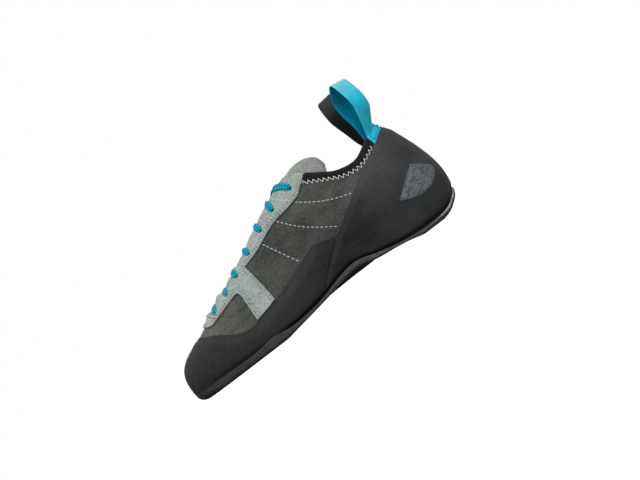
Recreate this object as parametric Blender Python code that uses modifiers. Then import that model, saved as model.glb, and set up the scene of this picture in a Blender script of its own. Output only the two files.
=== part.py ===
"""Laced climbing shoe for the right foot: a suede upper, rubber rands and a smooth outsole.

Sizes are in millimetres and become metres where a mesh is made. The shoe stands on z = 0 with its toe
towards +X and its inner (medial) side towards +Y. "Along" is measured from the back of the heel to the
toe, "side" across the shoe and "height" up from the floor.

The last is a ring of ribs. Rib 0 is the back of the heel, ribs 1 to 14 climb the medial side, rib 15 is
the toe tip, and ribs 16 to 29 come back along the lateral side. Each rib is one curve from the feather
line, where upper and sole meet, to the top line, which is the collar, the throat or the toe's ridge.
"""

import math
from collections import namedtuple

import bmesh
import bpy
import numpy as np

MM = 0.001
MIDDLE = (122.75, -0.45)  # middle of the shoe's box, along and side, which is the origin
CLEARANCE = 0.3  # between pieces that touch on the real shoe
TOE_CLEARANCE = 0.45  # under the toe rand, which bends most

LEATHER = 2.0  # wall of the upper and of the collar band
RUBBER = 1.8  # wall of both rands
SUEDE = 1.2  # eyestay overlays
SOLE_LIP = CLEARANCE + RUBBER + 0.3  # how far the outsole stands out past the upper
SOLE_ROUND = 0.4  # share of the outsole's edge that is rounded off towards the floor
BAND_WIDTH = 6.5  # collar band above the suede
INSOLE = 2.0
INSOLE_INSET = 3.2
INSOLE_LIFT = 0.9
INSOLE_ENDS = (11.0, 236.0)

RIDGE_START = 90.0  # the instep ridge leans to the medial side from here on
RIDGE_LEAN = 0.052

TIP = 15
RIBS = 2 * TIP
COLLAR_RIB = 6  # the collar's front corner
WING_RIBS = (9, 10)  # rear and front edge of the eyestay's wing
THROAT_END_RIB = 13  # both sides meet from here to the toe

# The top line, heel to toe: the same on both sides, with gap the distance from the ridge
Top = namedtuple("Top", "along gap height")
TOP_LINE = [
    Top(20.8, 0.0, 88.5),
    Top(25.0, 10.5, 86.3),
    Top(33.0, 17.6, 80.3),
    Top(46.0, 22.8, 74.2),
    Top(62.0, 24.6, 75.8),
    Top(76.0, 23.4, 83.0),
    Top(87.5, 20.0, 89.2),
    Top(98.0, 12.0, 94.2),
    Top(134.0, 9.6, 79.6),
    Top(160.0, 8.4, 66.2),
    Top(173.5, 7.6, 59.4),
    Top(184.5, 6.6, 54.4),
    Top(194.5, 5.0, 50.1),
    Top(203.5, 0.0, 46.2),
    Top(214.0, 0.0, 40.9),
    Top(222.0, 0.0, 36.5),
]

# The feather line with the outsole's tread under it, and how each rib swells out, rises, reaches and drops
Foot = namedtuple("Foot", "along side height tread swell rise reach drop")
HEEL_BACK = Foot(4.6, 0.0, 16.0, 11.8, 7.2, 22.0, 10.6, 26.0)
TOE_TIP = Foot(242.6, 12.0, 7.2, 0.3, 1.7, 20.0, 15.0, 6.3)
MEDIAL = [
    Foot(7.8, 13.2, 11.6, 6.8, 7.0, 22.5, 10.5, 26.0),
    Foot(16.0, 22.2, 6.6, 1.8, 6.4, 22.0, 8.5, 25.0),
    Foot(33.0, 26.9, 4.7, -0.8, 6.0, 22.0, 7.0, 24.0),
    Foot(55.0, 26.2, 6.4, 3.5, 6.5, 24.0, 6.0, 24.0),
    Foot(76.0, 23.0, 10.8, 7.0, 9.5, 24.0, 6.5, 23.0),
    Foot(93.0, 21.6, 15.4, 11.2, 11.5, 24.0, 9.0, 22.0),
    Foot(110.0, 23.4, 13.4, 9.4, 11.0, 24.0, 14.5, 18.0),
    Foot(132.0, 30.5, 8.2, 5.0, 7.0, 24.0, 15.0, 13.0),
    Foot(155.0, 37.0, 5.7, 1.6, 4.5, 22.0, 15.0, 10.0),
    Foot(175.5, 39.0, 5.7, -1.2, 3.2, 21.0, 15.0, 8.0),
    Foot(193.0, 38.6, 6.1, -1.0, 2.6, 20.0, 15.5, 6.0),
    Foot(208.0, 36.2, 6.6, -1.0, 2.2, 19.0, 16.0, 4.5),
    Foot(223.0, 31.0, 7.0, -0.8, 1.8, 18.0, 15.0, 3.4),
    Foot(236.4, 23.0, 7.2, -0.3, 1.8, 19.0, 15.5, 5.2),
]
LATERAL = [
    Foot(7.8, 13.2, 11.6, 6.8, 7.0, 22.5, 10.5, 26.0),
    Foot(16.0, 22.2, 6.6, 1.8, 6.4, 22.0, 8.5, 25.0),
    Foot(33.0, 27.3, 4.7, -0.8, 5.8, 22.0, 7.5, 24.0),
    Foot(55.0, 28.2, 6.6, 3.6, 5.2, 24.0, 7.5, 24.0),
    Foot(76.0, 29.2, 10.4, 7.0, 4.5, 24.0, 8.5, 24.0),
    Foot(93.0, 30.8, 11.0, 7.4, 4.2, 24.0, 12.0, 22.0),
    Foot(110.0, 33.4, 10.4, 7.1, 4.0, 24.0, 18.0, 17.0),
    Foot(132.0, 37.6, 8.0, 4.9, 3.8, 23.0, 20.0, 13.0),
    Foot(155.0, 40.0, 5.7, 1.6, 3.4, 21.0, 20.0, 11.0),
    Foot(175.5, 38.6, 5.7, -1.2, 3.0, 19.5, 19.0, 9.0),
    Foot(192.0, 34.0, 6.1, -1.0, 2.6, 18.5, 18.0, 7.5),
    Foot(206.0, 27.0, 6.6, -1.0, 2.2, 17.5, 16.0, 6.0),
    Foot(219.5, 17.5, 7.0, -0.8, 1.8, 16.5, 14.0, 5.0),
    Foot(233.2, 3.0, 7.2, -0.3, 1.8, 18.5, 15.0, 5.8),
]

# Edges of the overlays, drawn on the shoe's side view, heel to toe
Mark = namedtuple("Mark", "along height")
HEEL_RAND_EDGE = [
    Mark(28.0, 80.0), Mark(34.0, 73.6), Mark(45.0, 66.6), Mark(64.0, 55.0), Mark(85.0, 41.8),
    Mark(93.0, 37.4), Mark(105.0, 29.0), Mark(117.0, 19.3), Mark(130.0, 7.5),
]
TOE_RAND_EDGE = [
    Mark(92.0, 37.5), Mark(100.0, 40.3), Mark(111.0, 43.0), Mark(124.0, 38.6), Mark(137.0, 34.0),
    Mark(155.0, 28.3), Mark(170.0, 24.5), Mark(184.0, 23.0), Mark(193.0, 25.6), Mark(200.0, 30.2),
    Mark(207.0, 34.6), Mark(215.0, 38.6), Mark(219.0, 42.0), Mark(223.0, 60.0),
]
EYESTAY_REAR_EDGE = [
    Mark(85.0, 83.5), Mark(90.0, 81.6), Mark(95.0, 78.8), Mark(101.0, 76.6), Mark(110.0, 75.0),
    Mark(120.0, 73.2), Mark(130.0, 70.0), Mark(145.0, 63.6), Mark(160.0, 59.4),
]
EYESTAY_FRONT_EDGE = [
    Mark(150.0, 57.0), Mark(164.0, 51.6), Mark(177.0, 47.9), Mark(185.0, 45.6), Mark(195.0, 42.6),
    Mark(205.0, 40.4), Mark(209.0, 42.0), Mark(212.0, 46.0),
]
RAND_FOOT = 0.016  # climb of the rands' lower edge, just clear of the outsole
TOE_RAND_START = 6.4  # rib where the pointed rear end of the toe rand starts
HEEL_RAND_END = 7.7  # rib where the pointed front end of the heel rand stops
EYESTAY_FRONT_END = 13.6

# Columns that each stretch between two ribs is split into, heel to toe
RIB_SPLITS = [2, 2, 2, 3, 3, 2, 2, 3, 3, 3, 2, 2, 2, 2, 2]
STEP_RIBS = (COLLAR_RIB + 0.1,)  # extra columns where an edge steps

# The tongue's top surface, toe to heel: a low arch across the foot
Arch = namedtuple("Arch", "along height half_width edge_drop")
TONGUE = [
    Arch(191.0, 49.7, 8.0, 2.6),
    Arch(175.0, 55.9, 12.4, 5.5),
    Arch(150.0, 68.3, 13.2, 6.5),
    Arch(122.0, 82.4, 13.8, 7.5),
    Arch(104.0, 90.2, 14.2, 8.5),
    Arch(94.0, 94.8, 14.5, 9.5),
    Arch(84.0, 98.6, 15.5, 11.0),
    Arch(75.0, 97.4, 15.5, 11.5),
    Arch(70.0, 93.6, 13.0, 9.5),
    Arch(68.0, 90.5, 10.5, 7.5),
]
TONGUE_WALL = 3.0
TONGUE_STATIONS = 16
TONGUE_ACROSS = 8

# Lacing: one eyelet row on each side of the throat, toe to heel
EYELETS_ALONG = (195.0, 181.5, 168.0, 152.0, 136.0, 119.0, 104.0)
EYELET_INSET = 5.5  # from the throat's edge
LACE_WIDTH = 5.0
LACE_WALL = 1.4
LACE_HEIGHT = CLEARANCE + SUEDE + 0.45 + LACE_WALL / 2  # centre line over the eyestay
LACE_TUCK = 1.4  # how far the tucked end of a crossing stays from the throat's edge
LACE_SINK = 0.4  # how far it lies below that edge
LACE_SLANT = 3.0  # how far a crossing has gone towards the toe where it leaves the eyestay
LACE_SHORT = 5.0  # how far short of the lower eyelet its tucked end stops
LACE_BOW = 2.0  # how far its middle stays up
LACE_STEPS = 12

# Pull loops at the back of the collar
Loop = namedtuple("Loop", "top forward")
LOOPS = {"medial": Loop(127.0, -0.5), "lateral": Loop(124.5, 6.5)}  # height, and lean towards the toe
LOOP_WIDTH = 15.0
LOOP_WALL = 1.3
LOOP_CLEARANCE = 0.5
LOOP_RIB = 1.25
LOOP_SEAT = 6.2  # length sewn on outside the collar
LOOP_TUCK = 6.0  # length sewn on inside the collar
LOOP_BULGE_OUT = 10.0
LOOP_BULGE_IN = 6.5
LOOP_ACROSS = 4
LOOP_STEPS = 16

COLOURS = {
    "suede_dark": (0.082, 0.086, 0.080),
    "suede_light": (0.330, 0.365, 0.340),
    "rubber": (0.030, 0.031, 0.033),
    "knit_black": (0.016, 0.017, 0.016),
    "webbing_teal": (0.010, 0.330, 0.450),
    "webbing_dark": (0.040, 0.042, 0.041),
    "lace_teal": (0.012, 0.300, 0.400),
    "insole_grey": (0.120, 0.120, 0.115),
}


def rib_table():
    """All ribs in order round the shoe, one row of numbers each."""
    def row(foot, top, sign):
        return [
            foot.along, sign * foot.side, foot.height, foot.tread, foot.swell, foot.rise,
            foot.reach, foot.drop, top.along, sign * top.gap, top.height,
        ]

    medial = [row(foot, top, 1) for foot, top in zip(MEDIAL, TOP_LINE[1:-1])]
    lateral = [row(foot, top, -1) for foot, top in zip(LATERAL, TOP_LINE[1:-1])]
    heel = row(HEEL_BACK, TOP_LINE[0], 1)
    toe = row(TOE_TIP, TOP_LINE[-1], 1)
    return np.array([heel, *medial, toe, *reversed(lateral)])


def rib_spacing(table):
    """Distance from each rib to the next, averaged over both sides so that they stay in step."""
    steps = np.linalg.norm(np.roll(table, -1, axis=0)[:, :2] - table[:, :2], axis=1)
    return (steps + steps[::-1]) / 2


RIB_TABLE = rib_table()
RIB_SPACING = rib_spacing(RIB_TABLE)


def hermite(start, end, start_slope, end_slope, share):
    """Cubic between two values with given slopes over a unit step."""
    square, cube = share**2, share**3
    return (
        (2 * cube - 3 * square + 1) * start + (cube - 2 * square + share) * start_slope
        + (3 * square - 2 * cube) * end + (cube - square) * end_slope
    )


def rib_slope(index):
    """Slope of the ribs' values at one rib, from the ribs on both sides of it."""
    before, after = RIB_SPACING[index - 1], RIB_SPACING[index % RIBS]
    here = RIB_TABLE[index % RIBS]
    ahead = (RIB_TABLE[(index + 1) % RIBS] - here) / after
    behind = (here - RIB_TABLE[index - 1]) / before
    return (before * ahead + after * behind) / (before + after)


def half_rib(rib):
    """Rib number counted from the heel on either side."""
    rib = rib % RIBS
    return min(rib, RIBS - rib)


def rib_values(rib):
    """Interpolated row of the rib table at any rib number."""
    index = math.floor(rib) % RIBS
    step = RIB_SPACING[index]
    return hermite(
        RIB_TABLE[index], RIB_TABLE[(index + 1) % RIBS],
        rib_slope(index) * step, rib_slope((index + 1) % RIBS) * step, rib - math.floor(rib),
    )


def ridge_side(along):
    return RIDGE_LEAN * max(0.0, along - RIDGE_START)


def outward(rib):
    """Level unit vector pointing out of the shoe at the feather line."""
    step = 0.05
    tangent = rib_values(rib + step)[:2] - rib_values(rib - step)[:2]
    normal = np.array([-tangent[1], tangent[0], 0.0])
    return normal / np.linalg.norm(normal)


def feather_point(rib):
    return rib_values(rib)[:3]


def top_point(rib):
    along, gap, height = rib_values(rib)[8:11]
    if half_rib(rib) >= THROAT_END_RIB:
        gap = 0.0
    return np.array([along, ridge_side(along) + gap, height])


def skin(rib, climb):
    """Point of the upper's outer surface: climb is 0 at the feather line and 1 at the top line."""
    swell, rise, reach, drop = rib_values(rib)[4:8]
    out, up = outward(rib), np.array([0.0, 0.0, 1.0])
    foot, top = feather_point(rib), top_point(rib)
    low_handle = foot + out * swell + up * rise
    high_handle = top + out * reach - up * drop
    rest = 1 - climb
    return (
        rest**3 * foot + 3 * rest**2 * climb * low_handle
        + 3 * rest * climb**2 * high_handle + climb**3 * top
    )


def skin_normal(rib, climb):
    """Outward normal of the upper's outer surface; longer on the toe's ridge, where two sides meet."""
    def one_side(at):
        rib_step, climb_step = 0.03, 0.006
        height = min(max(climb, climb_step), 0.985)
        up = skin(at, height + climb_step) - skin(at, height - climb_step)
        forward = skin(at + rib_step, height) - skin(at - rib_step, height)
        normal = np.cross(up, forward)
        return normal / np.linalg.norm(normal)

    normal = one_side(rib)
    if climb > 0.999 and half_rib(rib) >= THROAT_END_RIB:
        other = one_side(RIBS - rib)
        return (normal + other) / (1 + normal @ other)
    return normal


def skin_offset(rib, climb, distance):
    return skin(rib, climb) + skin_normal(rib, climb) * distance


def climb_below_top(rib, distance):
    """Climb of the point that lies this far down the rib from the top line."""
    steps = 60
    climbs = np.linspace(1.0, 0.5, steps)
    points = np.array([skin(rib, climb) for climb in climbs])
    lengths = np.concatenate([[0.0], np.cumsum(np.linalg.norm(np.diff(points, axis=0), axis=1))])
    return float(np.interp(distance, lengths, climbs))


def smooth_value(places, values, place):
    """Value at one place on a smooth line through values at rising places."""
    places, values = np.array(places), np.array(values)
    slopes = np.gradient(values, places)
    index = int(np.clip(np.searchsorted(places, place) - 1, 0, len(places) - 2))
    step = places[index + 1] - places[index]
    share = float(np.clip((place - places[index]) / step, 0.0, 1.0))
    return hermite(values[index], values[index + 1], slopes[index] * step, slopes[index + 1] * step, share)


def line_height(marks, along):
    """Height of a side-view line at one place."""
    return smooth_value([mark.along for mark in marks], [mark.height for mark in marks], along)


def climb_at_line(rib, marks, lift=0.0):
    """Climb at which a rib crosses a side-view line moved up by lift."""
    def above(climb):
        point = skin(rib, climb)
        return point[2] - line_height(marks, point[0]) - lift

    low, high = 0.0, 1.0
    if above(low) >= 0:
        return low
    if above(high) <= 0:
        return high
    for _ in range(40):
        middle = (low + high) / 2
        low, high = (low, middle) if above(middle) > 0 else (middle, high)
    return (low + high) / 2


def throat_rib(along):
    """Medial rib whose top lies at this place along the throat."""
    low, high = float(COLLAR_RIB), float(THROAT_END_RIB)
    for _ in range(40):
        middle = (low + high) / 2
        low, high = (middle, high) if top_point(middle)[0] < along else (low, middle)
    return low


def rib_columns():
    """Rib numbers of every column, once round the shoe from the heel."""
    half = [float(TIP), *STEP_RIBS]
    for rib, splits in enumerate(RIB_SPLITS):
        half += [rib + step / splits for step in range(splits)]
    return sorted({*half, *(RIBS - rib for rib in half if rib > 0)})


COLUMNS = rib_columns()


def columns_between(first, last):
    """The shared columns between two rib numbers, with both ends; lateral ribs may count below zero."""
    margin = 0.03
    shared = [rib + turn for turn in (-RIBS, 0) for rib in COLUMNS]
    return [first, *(rib for rib in shared if first + margin < rib < last - margin), last]


def make_material(name, roughness):
    material = bpy.data.materials.new(name)
    material.use_nodes = True
    shader = material.node_tree.nodes["Principled BSDF"]
    shader.inputs["Base Color"].default_value = (*COLOURS[name], 1.0)
    shader.inputs["Roughness"].default_value = roughness
    shader.inputs["Metallic"].default_value = 0.0
    material.diffuse_color = (*COLOURS[name], 1.0)
    return material


def to_metres(point):
    return ((point[0] - MIDDLE[0]) * MM, (point[1] - MIDDLE[1]) * MM, point[2] * MM)


def make_object(name, mesh_points, faces, material, collection):
    """A mesh object from points in millimetres, with coinciding points made one."""
    shape = bmesh.new()
    corners = [shape.verts.new(to_metres(point)) for point in mesh_points]
    for face in faces:
        if len(set(face)) > 2:
            shape.faces.new([corners[index] for index in face])
    bmesh.ops.remove_doubles(shape, verts=shape.verts, dist=0.02 * MM)
    mesh = bpy.data.meshes.new(name)
    shape.to_mesh(mesh)
    shape.free()
    mesh.shade_smooth()
    mesh.set_sharp_from_angle(angle=math.radians(40))
    mesh.materials.append(material)
    part = bpy.data.objects.new(name, mesh)
    collection.objects.link(part)
    return part


def thicken(part, wall, side=1.0):
    """Gives an open surface a wall: side is 1 in front of its faces, -1 behind them, 0 on both."""
    solid = part.modifiers.new("wall", "SOLIDIFY")
    solid.thickness = wall * MM
    solid.offset = side
    solid.use_even_offset = True
    solid.use_quality_normals = True


def grid_faces(columns, rows, closed=False):
    """Quads of a grid stored column by column; they look to the left of the way the columns run."""
    stride = rows + 1
    faces = []
    for column in range(columns if closed else columns - 1):
        here, there = column * stride, (column + 1) % columns * stride
        for row in range(rows):
            faces.append((here + row, here + row + 1, there + row + 1, there + row))
    return faces


def skin_grid(columns, low, high, rows, base):
    """Points of the upper's own surface between two edges, lifted to base, column by column."""
    points = []
    for rib in columns:
        start, end = low(rib), high(rib)
        for row in range(rows + 1):
            points.append(skin_offset(rib, start + (end - start) * row / rows, base))
    return points


def make_shell(name, columns, low, high, rows, material, collection, closed=False):
    """A wall of the upper itself, between two edges, with its outside on the upper's surface."""
    points = skin_grid(columns, low, high, rows, 0.0)
    part = make_object(name, points, grid_faces(len(columns), rows, closed), material, collection)
    thicken(part, LEATHER, -1.0)
    return part


def make_overlay(name, columns, low, high, rows, wall, material, collection, base=CLEARANCE):
    """A piece laid on the upper between two edges."""
    points = skin_grid(columns, low, high, rows, base)
    part = make_object(name, points, grid_faces(len(columns), rows), material, collection)
    thicken(part, wall)
    return part


def band_seam(rib, gap=0.0):
    """Climb of the collar band's lower edge."""
    return climb_below_top(rib, BAND_WIDTH + gap)


def make_upper(material, collection):
    """Suede upper: one hollow wall, open at the collar, down the throat and underneath."""
    def top(rib):
        return band_seam(rib, CLEARANCE) if half_rib(rib) <= COLLAR_RIB else 1.0

    return make_shell("upper", COLUMNS, lambda rib: 0.0, top, 10, material, collection, closed=True)


def make_collar_band(material, collection):
    end = COLLAR_RIB - 0.04
    return make_shell(
        "collar_band", columns_between(-end, end), band_seam, lambda rib: 1.0, 2, material, collection
    )


def make_heel_rand(material, collection):
    """Rubber heel cup with the tensioned strip that runs down to the arch."""
    def top(rib):
        return min(band_seam(rib, 2 * CLEARANCE), climb_at_line(rib, HEEL_RAND_EDGE))

    return make_overlay(
        "heel_rand", columns_between(-HEEL_RAND_END, HEEL_RAND_END), lambda rib: RAND_FOOT, top, 9, RUBBER,
        material, collection,
    )


def make_toe_rand(material, collection):
    """Rubber rand round the toe and both sides, up to the slanted seam at the arch."""
    def low(rib):
        return max(RAND_FOOT, climb_at_line(rib, HEEL_RAND_EDGE, 2 * CLEARANCE))

    return make_overlay(
        "toe_rand", columns_between(TOE_RAND_START, RIBS - TOE_RAND_START), low,
        lambda rib: climb_at_line(rib, TOE_RAND_EDGE), 8, RUBBER, material, collection, TOE_CLEARANCE,
    )


def make_eyestay_front(material, collection):
    """Suede overlay round the front of the throat, with a wing down to the rand on each side."""
    def band_low(rib):
        return climb_at_line(rib, EYESTAY_FRONT_EDGE)

    def wing_low(rib):
        return climb_at_line(rib, TOE_RAND_EDGE, 2 * CLEARANCE)

    wing, front = WING_RIBS, EYESTAY_FRONT_END
    points, faces = [], []
    for band_ends, wing_ends in (
        ((wing[0], front), wing), ((RIBS - front, RIBS - wing[0]), (RIBS - wing[1], RIBS - wing[0]))
    ):
        for ends, low, high, rows in (
            (band_ends, band_low, lambda rib: 1.0, 3), (wing_ends, wing_low, band_low, 4)
        ):
            columns = columns_between(*ends)
            first = len(points)
            points += skin_grid(columns, low, high, rows, CLEARANCE)
            faces += [tuple(first + index for index in face) for face in grid_faces(len(columns), rows)]
    part = make_object("eyestay_front", points, faces, material, collection)
    thicken(part, SUEDE)
    return part


def make_eyestay_rear(side, material, collection):
    """Suede overlay beside the upper throat, on one side."""
    near, far = COLLAR_RIB + 0.1, WING_RIBS[0] - 0.04
    ends = (near, far) if side == "medial" else (RIBS - far, RIBS - near)
    return make_overlay(
        f"eyestay_rear_{side}", columns_between(*ends), lambda rib: climb_at_line(rib, EYESTAY_REAR_EDGE),
        lambda rib: 1.0, 4, SUEDE, material, collection,
    )


def ladder_faces(first, count, top):
    """Faces across the shoe between the two halves of a ring of points, looking up or down."""
    half = count // 2
    faces = []
    for step in range(half):
        medial, ahead = first + step, first + step + 1
        lateral, behind = first + (count - step) % count, first + (count - step - 1) % count
        corners = [medial, ahead, behind, lateral]
        corners = [corner for place, corner in enumerate(corners) if corner not in corners[:place]]
        faces.append(tuple(reversed(corners)) if top else tuple(corners))
    return faces


def ring_wall(first, second, count):
    """Faces between two rings of points, looking out when the second ring lies above the first."""
    return [
        (first + step, second + step, second + (step + 1) % count, first + (step + 1) % count)
        for step in range(count)
    ]


def make_plate(name, rings, material, collection):
    """A solid through rings of points, lowest first, closed across the shoe at both ends."""
    count = len(rings[0])
    points = [point for ring in rings for point in ring]
    faces = ladder_faces(0, count, top=False) + ladder_faces((len(rings) - 1) * count, count, top=True)
    for level in range(len(rings) - 1):
        faces += ring_wall(level * count, (level + 1) * count, count)
    return make_object(name, points, faces, material, collection)


def make_outsole(material, collection):
    """Smooth rubber sole: flat under heel and forefoot, lifted at the arch and up the back of the heel."""
    floor_ring, edge_ring, top_ring = [], [], []
    for rib in COLUMNS:
        values = rib_values(rib)
        foot, out = values[:3], outward(rib)
        tread = max(0.0, values[3])
        rounding = SOLE_ROUND * (foot[2] - tread)
        rim = foot + out * SOLE_LIP
        inner = foot + out * (SOLE_LIP - rounding)
        floor_ring.append((inner[0], inner[1], tread))
        edge_ring.append((rim[0], rim[1], tread + rounding))
        top_ring.append((rim[0], rim[1], foot[2] - CLEARANCE))
    return make_plate("outsole", [floor_ring, edge_ring, top_ring], material, collection)


def floor_height(along, side):
    """Height of the outsole's top face inside the shoe."""
    def edge(ribs):
        table = np.array([feather_point(rib) for rib in ribs])
        order = np.argsort(table[:, 0])
        return (
            np.interp(along, table[order, 0], table[order, 1]),
            np.interp(along, table[order, 0], table[order, 2]),
        )

    medial_side, medial_height = edge([rib for rib in COLUMNS if rib <= TIP])
    lateral_side, lateral_height = edge([rib for rib in COLUMNS if rib >= TIP])
    share = (side - lateral_side) / max(medial_side - lateral_side, 1.0)
    return lateral_height + np.clip(share, 0.0, 1.0) * (medial_height - lateral_height)


def make_insole(material, collection):
    lower, upper = [], []
    for rib in COLUMNS:
        point = feather_point(rib) - outward(rib) * INSOLE_INSET
        along = float(np.clip(point[0], *INSOLE_ENDS))
        height = floor_height(along, point[1]) + INSOLE_LIFT
        lower.append((along, point[1], height))
        upper.append((along, point[1], height + INSOLE))
    return make_plate("insole", [lower, upper], material, collection)


def tongue_row(along):
    """The tongue's height, half width and edge drop at one place."""
    rows = TONGUE[::-1]
    places = [row.along for row in rows]
    return [smooth_value(places, [row[column] for row in rows], along) for column in (1, 2, 3)]


def make_tongue(material, collection):
    """Padded tongue under the lacing, with a free end above the throat."""
    points = []
    for station in range(TONGUE_STATIONS + 1):
        share = station / TONGUE_STATIONS
        along = TONGUE[-1].along + (TONGUE[0].along - TONGUE[-1].along) * share
        height, half_width, edge_drop = tongue_row(along)
        for step in range(TONGUE_ACROSS + 1):
            across = 2 * step / TONGUE_ACROSS - 1
            points.append((along, ridge_side(along) - across * half_width, height - edge_drop * across**2))
    faces = [tuple(reversed(face)) for face in grid_faces(TONGUE_STATIONS + 1, TONGUE_ACROSS)]
    part = make_object("tongue", points, faces, material, collection)
    thicken(part, TONGUE_WALL)
    return part


def make_strip(name, centre, across, wall, material, collection):
    """A flat strip along a centre line, with across the half-width vector at each point."""
    points, count = [], len(centre)
    for point, half in zip(centre, across):
        points += [point - half, point + half]
    part = make_object(name, points, grid_faces(count, 1), material, collection)
    thicken(part, wall, 0.0)
    return part


def eyestay_seat(rib, inset):
    """Where a lace lies on the eyestay, with the way its flat side looks there."""
    climb = climb_below_top(rib, inset)
    return skin_offset(rib, climb, LACE_HEIGHT), skin_normal(rib, climb)


def bar_guide():
    """Guide points of the first strand, straight across from eyelet to eyelet."""
    rib = throat_rib(EYELETS_ALONG[0])
    seats = ((rib, EYELET_INSET), (rib, 0.0), (RIBS - rib, 0.0), (RIBS - rib, EYELET_INSET))
    return [eyestay_seat(*seat) for seat in seats]


def crossing_guide(row, side):
    """Guide points of a strand from an eyelet over the throat and under its other edge, one row lower."""
    sign = 1 if side == "medial" else -1
    over = throat_rib(EYELETS_ALONG[row])
    slant = throat_rib(EYELETS_ALONG[row] + LACE_SLANT)
    under = throat_rib(EYELETS_ALONG[row - 1] - LACE_SHORT)
    eyelet = eyestay_seat(sign * over % RIBS, EYELET_INSET)
    shoulder, tilted = eyestay_seat(sign * slant % RIBS, 0.0)
    inward = sign * (LACE_WIDTH / 2 + LACE_TUCK)
    tucked = top_point(-sign * under % RIBS) + np.array([0.0, inward, -LACE_SINK])
    slope = top_point(under - 0.2) - top_point(under + 0.2)
    flat = np.array([slope[2], 0.0, -slope[0]]) / math.hypot(slope[0], slope[2])

    def across(share):
        bow = np.array([0.0, 0.0, 4 * LACE_BOW * share * (1 - share)])
        return shoulder * (1 - share) + tucked * share + bow

    return [
        eyelet, (shoulder, tilted), (across(0.25), (tilted + flat) / 2), (across(0.6), flat), (tucked, flat)
    ]


def make_strand(name, guide, material, collection):
    """One flat lace strand, smooth through its guide points."""
    points = np.array([point for point, _ in guide])
    looks = np.array([look for _, look in guide])
    slopes = np.gradient(points, axis=0)
    places = np.linspace(0, len(guide) - 1, LACE_STEPS + 1)
    centre, across = [], []
    for place in places:
        index = min(int(place), len(guide) - 2)
        share = place - index
        centre.append(hermite(points[index], points[index + 1], slopes[index], slopes[index + 1], share))
    for place, way in zip(places, np.gradient(np.array(centre), axis=0)):
        index = min(int(place), len(guide) - 2)
        look = looks[index] + (looks[index + 1] - looks[index]) * (place - index)
        half = np.cross(way, look)
        across.append(half / np.linalg.norm(half) * LACE_WIDTH / 2)
    return make_strip(name, centre, across, LACE_WALL, material, collection)


def make_lace_crossing(number, material, collection):
    """Two strands that cross over the tongue, joined where they cross."""
    strand = make_strand(f"lace_crossing_{number}", crossing_guide(number, "medial"), material, collection)
    other = make_strand(f"lace_strand_{number}", crossing_guide(number, "lateral"), material, collection)
    join = strand.modifiers.new("join", "BOOLEAN")
    join.operation = "UNION"
    join.object = other
    return strand, other


def make_lace_bar(material, collection):
    return make_strand("lace_bar", bar_guide(), material, collection)


def make_pull_loop(side, material, collection):
    """Webbing loop that straddles the collar: sewn on outside, up and over, and down inside."""
    rib = LOOP_RIB if side == "medial" else RIBS - LOOP_RIB
    loop, base = LOOPS[side], top_point(rib)
    reach = 0.7
    chord = top_point(rib + reach) - top_point(rib - reach)
    rib_width = np.linalg.norm(chord) / (2 * reach)
    along_collar = np.array([chord[0], chord[1], 0.0])
    along_collar = along_collar / np.linalg.norm(along_collar)
    out = np.array([-along_collar[1], along_collar[0], 0.0])
    rise = loop.top - LOOP_WALL / 2 - base[2]
    outer = LOOP_CLEARANCE + LOOP_WALL / 2
    inner = -LEATHER - outer

    def over_collar(local, share, turn):
        """Point on the free part: turn runs from 0 outside the collar to 1 inside it."""
        bulge = LOOP_BULGE_OUT if turn < 0.5 else LOOP_BULGE_IN
        height = rise * math.sin(math.pi * turn)
        spread = outer + (inner - outer) * turn + bulge * math.sin(2 * math.pi * turn)
        flat = min(1.0, height / 14.0)
        seat = top_point(local) * (1 - flat) + (base + along_collar * share * LOOP_WIDTH) * flat
        lean = np.array([loop.forward * (height / rise) ** 2, 0.0, height])
        return seat + out * spread + lean

    points = []
    for step in range(LOOP_STEPS + 5):
        for place in range(LOOP_ACROSS + 1):
            share = place / LOOP_ACROSS - 0.5
            local = rib + share * LOOP_WIDTH / rib_width
            if step < 2:
                climb = climb_below_top(local, LOOP_SEAT * (1 - step / 2))
                points.append(skin_offset(local, climb, outer))
            elif step > LOOP_STEPS + 2:
                climb = climb_below_top(local, LOOP_TUCK * (step - LOOP_STEPS - 2) / 2)
                points.append(skin_offset(local, climb, inner))
            else:
                turn = 0.5 - 0.5 * math.cos(math.pi * (step - 2) / LOOP_STEPS)
                points.append(over_collar(local, share, turn))
    faces = grid_faces(LOOP_STEPS + 5, LOOP_ACROSS)
    part = make_object(f"pull_loop_{side}", points, faces, material, collection)
    thicken(part, LOOP_WALL, 0.0)
    return part


def clear_scene():
    for thing in list(bpy.data.objects):
        bpy.data.objects.remove(thing)


def make_collection(name):
    collection = bpy.data.collections.new(name)
    bpy.context.scene.collection.children.link(collection)
    return collection


def main():
    clear_scene()
    shoe = make_collection("climbing_shoe")
    cutters = make_collection("helpers")
    dark = make_material("suede_dark", 0.95)
    light = make_material("suede_light", 0.92)
    rubber = make_material("rubber", 0.62)
    knit = make_material("knit_black", 0.9)
    teal = make_material("webbing_teal", 0.6)
    grey = make_material("webbing_dark", 0.7)
    lace = make_material("lace_teal", 0.7)
    footbed = make_material("insole_grey", 0.9)

    make_upper(dark, shoe)
    make_outsole(rubber, shoe)
    make_insole(footbed, shoe)
    make_collar_band(knit, shoe)
    make_heel_rand(rubber, shoe)
    make_toe_rand(rubber, shoe)
    make_eyestay_front(light, shoe)
    make_eyestay_rear("medial", light, shoe)
    make_eyestay_rear("lateral", light, shoe)
    make_tongue(light, shoe)
    make_pull_loop("medial", teal, shoe)
    make_pull_loop("lateral", grey, shoe)
    make_lace_bar(lace, shoe)
    for number in range(1, len(EYELETS_ALONG)):
        strand, other = make_lace_crossing(number, lace, shoe)
        shoe.objects.unlink(other)
        cutters.objects.link(other)
        other.hide_render = True
        other.display_type = "WIRE"


main()
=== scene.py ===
import math

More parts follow.
